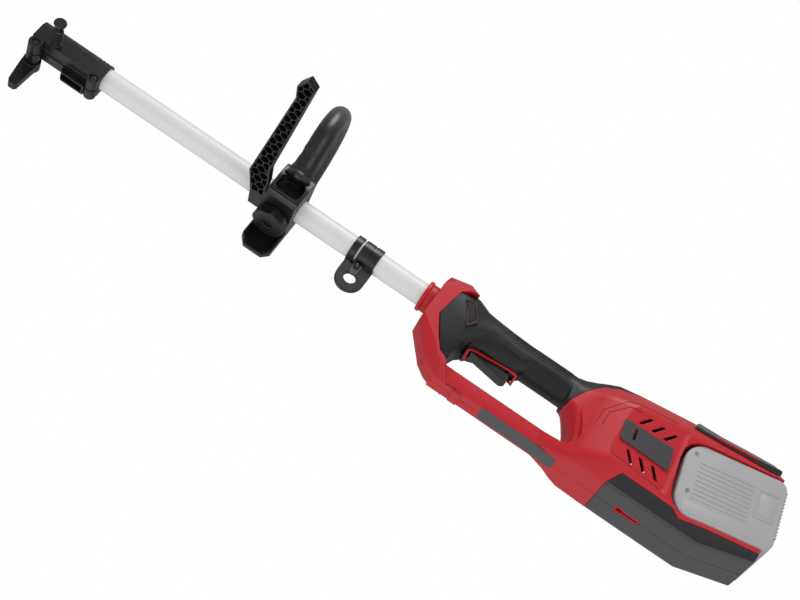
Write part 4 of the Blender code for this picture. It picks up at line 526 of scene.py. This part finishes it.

# Side panels' borders: fine raised lines of the housing's own plastic that frame the vents
# and the plate on either side, painted a darker red as painted shade.
PANEL_LINES = [[(-227, -34), (-227, -15), (-245, 8), (-301, 17)],
               [(-233, -34), (-233, -16), (-248, 1), (-262, 3)],
               [(-253, -60), (-318, -65)]]    # X and Z
LINE_RADIUS = 0.4
LINE_STEPS = 9
BESIDE_HOUSING = 70
# Painted shade: the lines take a darker red than the housing.
painted_shade_red = finish("painted_shade_red_abs", (0.2, 0.007, 0.012), 0.45, shine=0.3, drift=0.08,
                  blotch=12, grain=0.5, depth=0.012)
for side, label in ((1, "left"), (-1, "right")):
    panel_lines = bmesh.new()
    for corners in PANEL_LINES:
        path = [first_hit(housing_surfaces, at(x, side * BESIDE_HOUSING, z),
                          Vector((0, -side, 0)))
                for x, z in (*along(corners, LINE_STEPS), corners[-1])]
        swept(panel_lines, path, [LINE_RADIUS / 1000] * len(path), sides=6)
    bmesh.ops.recalc_face_normals(panel_lines, faces=panel_lines.faces)
    add_piece("panel_lines_" + label, panel_lines, painted_shade_red, "housing")

# Top pad: a glossy black bumper that wraps over the rear housing, with a red strip let
# into each of its sides.
STRIP_FRONT = (-343, 34.7)       # X and Z
STRIP_REAR = (-393, 41.1)
STRIP_OUT = 38.1
STRIP_THICK = 1.2
STRIP_HEIGHT = 2.4
pad_black = finish("glossy_black_bumper", (0.012, 0.012, 0.014), 0.22, coat=0.3, drift=0.1,
                   blotch=20, grain=0.5, depth=0.01)
skin(pad_black, "black_plastic", "top_pad", edge=0.9)
strip_run = STRIP_FRONT[0] - STRIP_REAR[0]
strip_rise = STRIP_REAR[1] - STRIP_FRONT[1]
for side, label in ((1, "left"), (-1, "right")):
    strip = bmesh.new()
    bmesh.ops.create_cube(strip, size=1)
    bmesh.ops.scale(strip, verts=strip.verts,
                    vec=(hypot(strip_run, strip_rise), STRIP_THICK, STRIP_HEIGHT))
    for vert in strip.verts:     # the ends slant towards each other at the top
        slant = STRIP_HEIGHT / 2 if vert.co.z > 0 else -STRIP_HEIGHT / 2
        vert.co.x += -slant if vert.co.x > 0 else slant
    middle = at((STRIP_FRONT[0] + STRIP_REAR[0]) / 2, side * STRIP_OUT,
                (STRIP_FRONT[1] + STRIP_REAR[1]) / 2)
    bmesh.ops.transform(strip, verts=strip.verts, matrix=Matrix.Translation(middle)
                        @ Matrix.Rotation(strip_rise / strip_run, 4, "Y")
                        @ Matrix.Scale(0.001, 4))
    weigh_edges(strip, crease=30)
    round_edges(add_piece("pad_strip_" + label, strip, red, "housing"), 0.3)

# Screws of the housing: black-oxide steel, their heads sunk in wells on the right side, driven
# into the bosses of the left half.
black_steel = finish("black_oxide_steel", (0.045, 0.045, 0.048), 0.32, metallic=0.9,
                     drift=0.15, blotch=4, grain=0.3, depth=0.01)
skin(black_steel, "steel", *[f"housing_screw_{number}" for number in range(1, 6)], edge=0.25)

# Battery pack: a pale grey ABS case with ribbed sides, two screws, a raised frame and a
# ridged rear edge, slid into the housing from the rear. Inside, its cells are in shrink wrap;
# in front of it stands the nylon terminal block.
BATTERY_MIDDLE = at(-385.5, 0, -21.2)
BATTERY_TILT = radians(11.5)
BATTERY_LENGTH = 117
BATTERY_HEIGHT = 88
CASE_HALF = 44.3                 # the ribs and frames reach the full half width
SIDE_REACH = 45
CASE_REAR = -57.5                # the ridges reach the full length
NEAR_END = 57                    # past this, a corner is at the front or at the rear
SIDE_ROUNDING = 2.6
FRONT_CORNERS = (22, 10)         # offset and segments
TOP_REAR_CORNER = (11, 6)
LOW_REAR_CORNER = (12, 2)
battery_axes = (Matrix.Translation(BATTERY_MIDDLE) @ Matrix.Rotation(BATTERY_TILT, 4, "Y")
                @ Matrix.Scale(0.001, 4))


def add_block(shape, low, high, rounding=0.0):
    """Adds a block between two corners, its edges rounded."""
    verts = bmesh.ops.create_cube(shape, size=1)["verts"]
    bmesh.ops.scale(shape, verts=verts, vec=[b - a for a, b in zip(low, high)])
    bmesh.ops.translate(shape, verts=verts, vec=[(a + b) / 2 for a, b in zip(low, high)])
    if rounding:
        edges = list({edge for vert in verts for edge in vert.link_edges})
        bmesh.ops.bevel(shape, geom=edges, offset=rounding, segments=2, profile=0.5,
                        affect="EDGES", material=-1)


case = bmesh.new()
add_block(case, (CASE_REAR, -CASE_HALF, -BATTERY_HEIGHT / 2),
          (BATTERY_LENGTH / 2, CASE_HALF, BATTERY_HEIGHT / 2))
for front_sign, top_sign, (offset, segments) in ((1, 1, FRONT_CORNERS), (1, -1, FRONT_CORNERS),
                                                 (-1, 1, TOP_REAR_CORNER),
                                                 (-1, -1, LOW_REAR_CORNER)):
    edges = [edge for edge in case.edges
             if abs(edge.verts[0].co.y - edge.verts[1].co.y) > CASE_HALF
             and all(vert.co.x * front_sign > NEAR_END
                     and vert.co.z * top_sign > BATTERY_HEIGHT / 2 - 0.1
                     for vert in edge.verts)]
    bmesh.ops.bevel(case, geom=edges, offset=offset, segments=segments, profile=0.5,
                    affect="EDGES", material=-1)
rims = [edge for edge in case.edges
        if all(abs(vert.co.y) > CASE_HALF - 0.01 for vert in edge.verts)
        and edge.verts[0].co.y * edge.verts[1].co.y > 0]
bmesh.ops.bevel(case, geom=rims, offset=SIDE_ROUNDING, segments=3, profile=0.5,
                affect="EDGES", material=-1)


def sink(shape, low, high, facing, move):
    """Cuts a rectangle into the faces that look along facing, and moves it by that much."""
    for axis in range(3):
        for bound in (low[axis], high[axis]):
            if abs(bound) < BATTERY_LENGTH:
                spot, normal = Vector(), Vector()
                spot[axis], normal[axis] = bound, 1
                bmesh.ops.bisect_plane(shape, geom=everything(shape), plane_co=spot,
                                       plane_no=normal)
    shape.normal_update()
    faces = [face for face in shape.faces if face.normal.dot(Vector(facing)) > 0.3
             and all(a < value < b for a, value, b in zip(low, face.calc_center_median(), high))]
    grown = bmesh.ops.extrude_face_region(shape, geom=faces)["geom"]
    bmesh.ops.translate(shape, verts=grown_verts(grown), vec=move)
    bmesh.ops.delete(shape, geom=[face for face in faces if face.is_valid], context="FACES")


FAR = 999                        # past the case on either side
SLOT_PITCH = 10                  # terminal slots in the front face
SLOT_HALF = (1.2, 7)
SLOT_DEPTH = 5
LATCH_HALF = 14.3                # recess of the latch button in the rear face
LATCH_LOW = 24.7
LATCH_HIGH = 37.3
LATCH_DEPTH = 6
for across in (-SLOT_PITCH, 0, SLOT_PITCH):
    sink(case, (0, across - SLOT_HALF[0], -SLOT_HALF[1]), (FAR, across + SLOT_HALF[0],
         SLOT_HALF[1]), facing=(1, 0, 0), move=(-SLOT_DEPTH, 0, 0))
sink(case, (-FAR, -LATCH_HALF, LATCH_LOW), (0, LATCH_HALF, LATCH_HIGH), facing=(-1, 0, 0),
     move=(LATCH_DEPTH, 0, 0))
SIDE_RIBS = 9                    # measured along U and up W, in the case's own tilted axes
SIDE_RIB_PITCH = 5.4
SIDE_RIB_LOWEST = -20
SIDE_RIB_HALF = 1.3
SIDE_RIB_SPAN = (-22, 41)
SIDE_SUNK = 0.6                  # how deep the raised parts are let into the sides
FRAME_BARS = [(-50.5, -27, 21.9, 23.5), (-50.5, -27, -11, -9.4), (-50.5, -48.9, -9.4, 21.9),
              (-28.6, -27, -9.4, 21.9)]       # U and W of the raised frame's four bars
FRAME_FIELD = (-47, -31, -6, 18.5)
LOWER_FIELD = (-40, 48, -38.6, -26.5)
RIDGES = 14                      # across the rear edge, for the fingers
RIDGE_PITCH = 4.3
RIDGE_LOWEST = -24
RIDGE_HALF = 0.95
RIDGE_INNER = 33
RIDGE_OUTER = 43.6
RIDGE_SHIFT = 0.4
RIDGE_FRONT = -50
for side in (-1, 1):
    low_y, high_y = sorted((side * (CASE_HALF - SIDE_SUNK), side * SIDE_REACH))
    for k in range(SIDE_RIBS):
        middle = SIDE_RIB_LOWEST + k * SIDE_RIB_PITCH
        add_block(case, (SIDE_RIB_SPAN[0], low_y, middle - SIDE_RIB_HALF),
                  (SIDE_RIB_SPAN[1], high_y, middle + SIDE_RIB_HALF), rounding=0.6)
    for u0, u1, w0, w1 in FRAME_BARS:
        add_block(case, (u0, low_y, w0), (u1, high_y, w1), rounding=0.4)
    # A shift moves the outer face on the left, and the buried one on the right.
    for (u0, u1, w0, w1), lowered, rounding in ((FRAME_FIELD, 0.2, 0.6), (LOWER_FIELD, 0.3, 0.5)):
        add_block(case, (u0, low_y, w0), (u1, high_y - side * lowered, w1), rounding)
    low_y, high_y = sorted((side * RIDGE_INNER, side * RIDGE_OUTER))
    for k in range(RIDGES):
        middle = RIDGE_LOWEST + k * RIDGE_PITCH
        add_block(case, (-BATTERY_LENGTH / 2, low_y, middle - RIDGE_HALF),
                  (RIDGE_FRONT, high_y + side * RIDGE_SHIFT, middle + RIDGE_HALF),
                  rounding=0.6)
bmesh.ops.transform(case, matrix=battery_axes, verts=case.verts)
bmesh.ops.recalc_face_normals(case, faces=case.faces)
pale_grey = finish("pale_grey_moulded_abs", (0.4, 0.4, 0.405), 0.46, drift=0.03, blotch=25,
                   grain=0.5, depth=0.03)
battery_case = add_piece("battery_case_skin", case, pale_grey, "battery")
battery_case.data.set_sharp_from_angle(angle=radians(35))
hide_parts("battery_case")

CASE_SCREWS = [(47.4, 30.3), (46.4, -15.2)]   # U and W
SCREW_RADIUS = 2.6
SCREW_SLOPE = 0.4
SCREW_HEIGHT = 0.8
SOCKET_RIM = 0.8
SOCKET_DEPTH = 0.5
screws = bmesh.new()
for side in (-1, 1):
    for u, w in CASE_SCREWS:
        placed = set(screws.verts)
        made = bmesh.ops.create_cone(screws, cap_ends=True, segments=20, radius1=SCREW_RADIUS,
                                     radius2=SCREW_RADIUS - SCREW_SLOPE,
                                     depth=SCREW_HEIGHT)["verts"]
        top = next(face for face in {face for vert in made for face in vert.link_faces}
                   if len(face.verts) > 4 and face.calc_center_median().z > 0)
        bmesh.ops.inset_region(screws, faces=[top], thickness=SOCKET_RIM, depth=-SOCKET_DEPTH)
        seat = Matrix.Translation((u, side * (CASE_HALF + 0.2), w))
        bmesh.ops.transform(screws, matrix=seat @ Matrix.Rotation(-side * pi / 2, 4, "X"),
                            verts=[vert for vert in screws.verts if vert not in placed])
bmesh.ops.transform(screws, matrix=battery_axes, verts=screws.verts)
bmesh.ops.recalc_face_normals(screws, faces=screws.faces)
weigh_edges(screws, crease=40)
zinc = finish("zinc_screw_grey", (0.25, 0.25, 0.26), 0.45, metallic=0.4, drift=0.08,
              blotch=3, grain=0.3, depth=0.01)
round_edges(add_piece("battery_screws", screws, zinc, "battery"), 0.12)
skin(black, "black_plastic", "battery_latch", edge=0.5)
wrap = finish("blue_shrink_wrap", (0.04, 0.13, 0.33), 0.3, coat=0.3, drift=0.12, blotch=10,
              grain=2, depth=0.05)
paint(wrap, "battery_cells")
paint(filled_nylon, "terminal_block")

# Hanger clamp: a slotted black band round the tube with an eye for the shoulder strap,
# pulled tight by one screw through its grey tongue.
skin(black, "black_plastic", "hanger_clamp", edge=0.6)
skin(plate_grey, "dark_grey_plastic", "hanger_tongue", edge=0.6)
skin(black_steel, "steel", "hanger_screw", edge=0.25)

# Loop handle: a thick rod of glass-filled nylon with a soft skin, swelling for the fingers
# above its feet. The feet are part of it; a rubber liner lies between them and the tube.
LOOP_X = 180
LOOP_HALF = 52
LOOP_LEAN = radians(3.5)
LEG_FOOT = (25, 12)              # Y and Z where a leg starts, inside its foot
LEG_TOP = 71
ROD_RADIUS = 11.75
ROD_STEPS = 120
ROD_SIDES = 32
SWELL = 0.025                    # finger swells, as a share of the radius
SWELL_PITCH = 5.5
SWELL_TOP = 56
SWELL_FADE = 10
FOOT_TOP = 27.5
FOOT_FLARE = 0.5
FLARE_TOP = 40
FLARE_CURVE = 1.6
PAINTED_LIGHT_LOW = 60                  # painted highlight: the skin is painted paler from here up
PAINTED_LIGHT_HIGH = 112
PAINTED_LIGHT_SHADES = (0.3, 1.6)       # times the colour, below and above: painted shade below, painted highlight above
feet_shape = merged_copy("loop_handle")
cut = bmesh.ops.bisect_plane(feet_shape, geom=everything(feet_shape),
                             plane_co=at(0, 0, FOOT_TOP), plane_no=(0, 0, 1),
                             clear_outer=True)["geom_cut"]
bmesh.ops.holes_fill(feet_shape, edges=[part for part in cut
                                        if isinstance(part, bmesh.types.BMEdge)])
join_flats(feet_shape)
weigh_edges(feet_shape, crease=28)
feet = add_piece("loop_handle_feet", feet_shape, black, "loop_handle")
round_edges(feet, 0.7)
leg_width = LOOP_HALF - LEG_FOOT[0]
leg_rise = LEG_TOP - LEG_FOOT[1]
leg_length = hypot(leg_width, leg_rise)
rod_length = 2 * leg_length + pi * LOOP_HALF
path = []
radii = []
for k in range(ROD_STEPS + 1):
    way = k / ROD_STEPS * rod_length
    side = 1 if way <= rod_length / 2 else -1
    way = min(way, rod_length - way)
    if way < leg_length:
        part = way / leg_length
        y = LEG_FOOT[0] + leg_width * part * part * (3 - 2 * part)
        z = LEG_FOOT[1] + leg_rise * part
    else:
        y = LOOP_HALF * cos((way - leg_length) / LOOP_HALF)
        z = LEG_TOP + LOOP_HALF * sin((way - leg_length) / LOOP_HALF)
    swell = SWELL * sin(z / SWELL_PITCH * pi) * max(0, min(1, (SWELL_TOP - z) / SWELL_FADE))
    flare = (FOOT_FLARE
             * max(0, (FLARE_TOP - z) / (FLARE_TOP - LEG_FOOT[1])) ** FLARE_CURVE)
    path.append(at(LOOP_X + z * sin(LOOP_LEAN), side * y, z * cos(LOOP_LEAN)))
    radii.append(ROD_RADIUS / 1000 * (1 + swell + flare))
rod = bmesh.new()
swept(rod, path, radii, sides=ROD_SIDES)
bmesh.ops.recalc_face_normals(rod, faces=rod.faces)
soft_rod = finish("soft_handle_skin", (0.036, 0.036, 0.04), 0.34, drift=0.12, blotch=25,
                  grain=0.45, depth=0.04)
# Painted light and shade: the rod's colour is painted darker towards the feet and paler over the
# top of the loop.
rod_make = soft_rod.node_tree.nodes.new
rod_link = soft_rod.node_tree.links.new
rod_colour = soft_rod.node_tree.nodes["Principled BSDF"].inputs["Base Color"]
rod_height = rod_make("ShaderNodeSeparateXYZ")
rod_link(rod_make("ShaderNodeTexCoord").outputs["Object"], rod_height.inputs["Vector"])
painted_light_ramp = rod_make("ShaderNodeMapRange")
painted_light_ramp.inputs["From Min"].default_value = at(0, 0, PAINTED_LIGHT_LOW).z
painted_light_ramp.inputs["From Max"].default_value = at(0, 0, PAINTED_LIGHT_HIGH).z
painted_light_ramp.inputs["To Min"].default_value, painted_light_ramp.inputs["To Max"].default_value = PAINTED_LIGHT_SHADES
rod_link(rod_height.outputs["Z"], painted_light_ramp.inputs["Value"])
painted_light_colour = rod_make("ShaderNodeVectorMath")
painted_light_colour.operation = "SCALE"
rod_link(rod_colour.links[0].from_socket, painted_light_colour.inputs["Vector"])
rod_link(painted_light_ramp.outputs["Result"], painted_light_colour.inputs["Scale"])
rod_link(painted_light_colour.outputs["Vector"], rod_colour)
add_piece("loop_handle_rod", rod, soft_rod, "loop_handle")
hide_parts("loop_handle")
paint(sleeve, "handle_liner")

# Handle clamp: a black saddle under the tube, drawn up by a bolt with a lobed black knob;
# its nut sits in the saddle.
skin(black, "black_plastic", "clamp_saddle", edge=0.6)
skin(black, "black_plastic", "handle_knob", edge=0.8)
skin(black_steel, "steel", "clamp_nut", "knob_bolt", edge=0.25)

# Barrier bar: a flat black moulding with a rim and a honeycomb of thin ribs on its
# underside, screwed to the saddle by its end; it keeps the cutter away from the feet.
BAR_OUTLINE = [(199.3, -5), (213, -5), (215.5, 17), (224, 49), (205.5, 200), (208.5, 217),
               (199.5, 234), (189, 225), (202.5, 66), (199.3, 44)]    # X and Y
BAR_LOW = -23.5
BAR_TOP = -14.6
BAR_RIM = 1.7
CELL_PITCH = 10.6
CELL_RIB = 1.1
CELL_DEPTH = 7
CELL_AREA_LEAST = 8
CELL_AREA_CUT = 60               # a cell smaller than this has been cut by the rim
CELLS_START = 19
CELLS_INSET = 5
CELL_ROWS = 24
CELL_COLUMNS = 6
CELLS_RIGHT = 180
BAR_TIP = 186                    # below this X every side of the outline cuts the cells
cell_radius = (CELL_PITCH - CELL_RIB) / 2 / cos(pi / 6)
row_pitch = CELL_PITCH * cos(pi / 6)
bar_sides = list(zip(BAR_OUTLINE, BAR_OUTLINE[1:] + BAR_OUTLINE[:1]))


def inside_bar(spot):
    """Whether a spot of the bar's plane lies inside its outline."""
    crossings = sum((y0 > spot.y) != (y1 > spot.y)
                    and spot.x < (x1 - x0) * (spot.y - y0) / (y1 - y0) + x0
                    for (x0, y0), (x1, y1) in bar_sides)
    return crossings % 2 == 1


def cell_corners(middle):
    """The corners of a honeycomb cell cut off along the rim; none where too little is left."""
    cell = bmesh.new()
    bmesh.ops.create_circle(cell, cap_ends=True, segments=6, radius=cell_radius,
                            matrix=Matrix.Translation(middle))
    for (x0, y0), (x1, y1) in bar_sides:
        start, run = Vector((x0, y0, BAR_LOW)), Vector((x1 - x0, y1 - y0, 0))
        inwards = Vector((-run.y, run.x, 0)).normalized()
        nearest = start + run * max(0, min(1, (middle - start).dot(run) / run.length_squared))
        if (middle - nearest).length < cell_radius + BAR_RIM + 1 or middle.x < BAR_TIP:
            bmesh.ops.bisect_plane(cell, geom=everything(cell), clear_outer=True,
                                   plane_co=start + inwards * BAR_RIM, plane_no=-inwards)
    bmesh.ops.bisect_plane(cell, geom=everything(cell), clear_outer=True,
                           plane_co=(0, CELLS_START, 0), plane_no=(0, -1, 0))
    area = sum(face.calc_area() for face in cell.faces)
    corners = []
    if area > CELL_AREA_LEAST and (inside_bar(middle) or area < CELL_AREA_CUT):
        corners = [vert.co.copy() for vert in cell.faces[:][0].verts]
    cell.free()
    return corners


bar = bmesh.new()
outer_verts = [bmesh.ops.create_vert(bar, co=(x, y, BAR_LOW))["vert"][0] for x, y in BAR_OUTLINE]
brim = []
for pair in zip(outer_verts, outer_verts[1:] + outer_verts[:1]):
    brim += bmesh.ops.contextual_create(bar, geom=pair)["edges"]
outer_edges = brim[:]
for row in range(CELL_ROWS):
    for column in range(CELL_COLUMNS):
        corners = cell_corners(Vector((CELLS_RIGHT + (column + row % 2 / 2) * CELL_PITCH,
                                       CELLS_START + CELLS_INSET + row * row_pitch, BAR_LOW)))
        if not corners:
            continue
        cell_verts = [bmesh.ops.create_vert(bar, co=spot)["vert"][0] for spot in corners]
        cell_face = bmesh.ops.contextual_create(bar, geom=cell_verts)["faces"][0]
        brim += cell_face.edges[:]
        grown = bmesh.ops.extrude_face_region(bar, geom=[cell_face])["geom"]
        bmesh.ops.translate(bar, verts=grown_verts(grown), vec=(0, 0, CELL_DEPTH))
        if cell_face.is_valid:
            bmesh.ops.delete(bar, geom=[cell_face], context="FACES_ONLY")
bmesh.ops.triangle_fill(bar, edges=[edge for edge in brim if edge.is_valid], use_beauty=True)
wall = bmesh.ops.extrude_edge_only(bar, edges=outer_edges)["geom"]
bmesh.ops.translate(bar, verts=grown_verts(wall), vec=(0, 0, BAR_TOP - BAR_LOW))
bmesh.ops.contextual_create(bar, geom=[part for part in wall
                                       if isinstance(part, bmesh.types.BMEdge)
                                       and all(vert.co.z > BAR_TOP - 0.01
                                               for vert in part.verts)])
bmesh.ops.recalc_face_normals(bar, faces=bar.faces)
bmesh.ops.transform(bar, verts=bar.verts,
                    matrix=Matrix.Translation(TUBE_MOUTH) @ Matrix.Scale(0.001, 4))
barrier_bar = add_piece("barrier_bar_ribbed", bar, black, body_of["barrier_bar"])
barrier_bar.data.shade_flat()
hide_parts("barrier_bar")
skin(black_steel, "steel", "bar_screw_1", "bar_screw_2", edge=0.25)

# Shaft coupler: two black half shells round the end of the tube, closed by a bolt with a
# winged knob at the front and by a screw at the rear.
skin(black, "black_plastic", "coupler_left", "coupler_right", edge=0.5)
skin(black, "black_plastic", "coupler_knob", edge=0.4)
skin(black_steel, "steel", "knob_stud", "stud_nut", "rear_clamp_screw", edge=0.25)

# Push pin: a blackened steel pin with a dished head over a visible wire spring, which is
# squeezed as the pin goes in; it locks the attachment's shaft.
skin(black_steel, "steel", "push_pin", edge=0.3)
add_spring("pin_spring", black_steel)
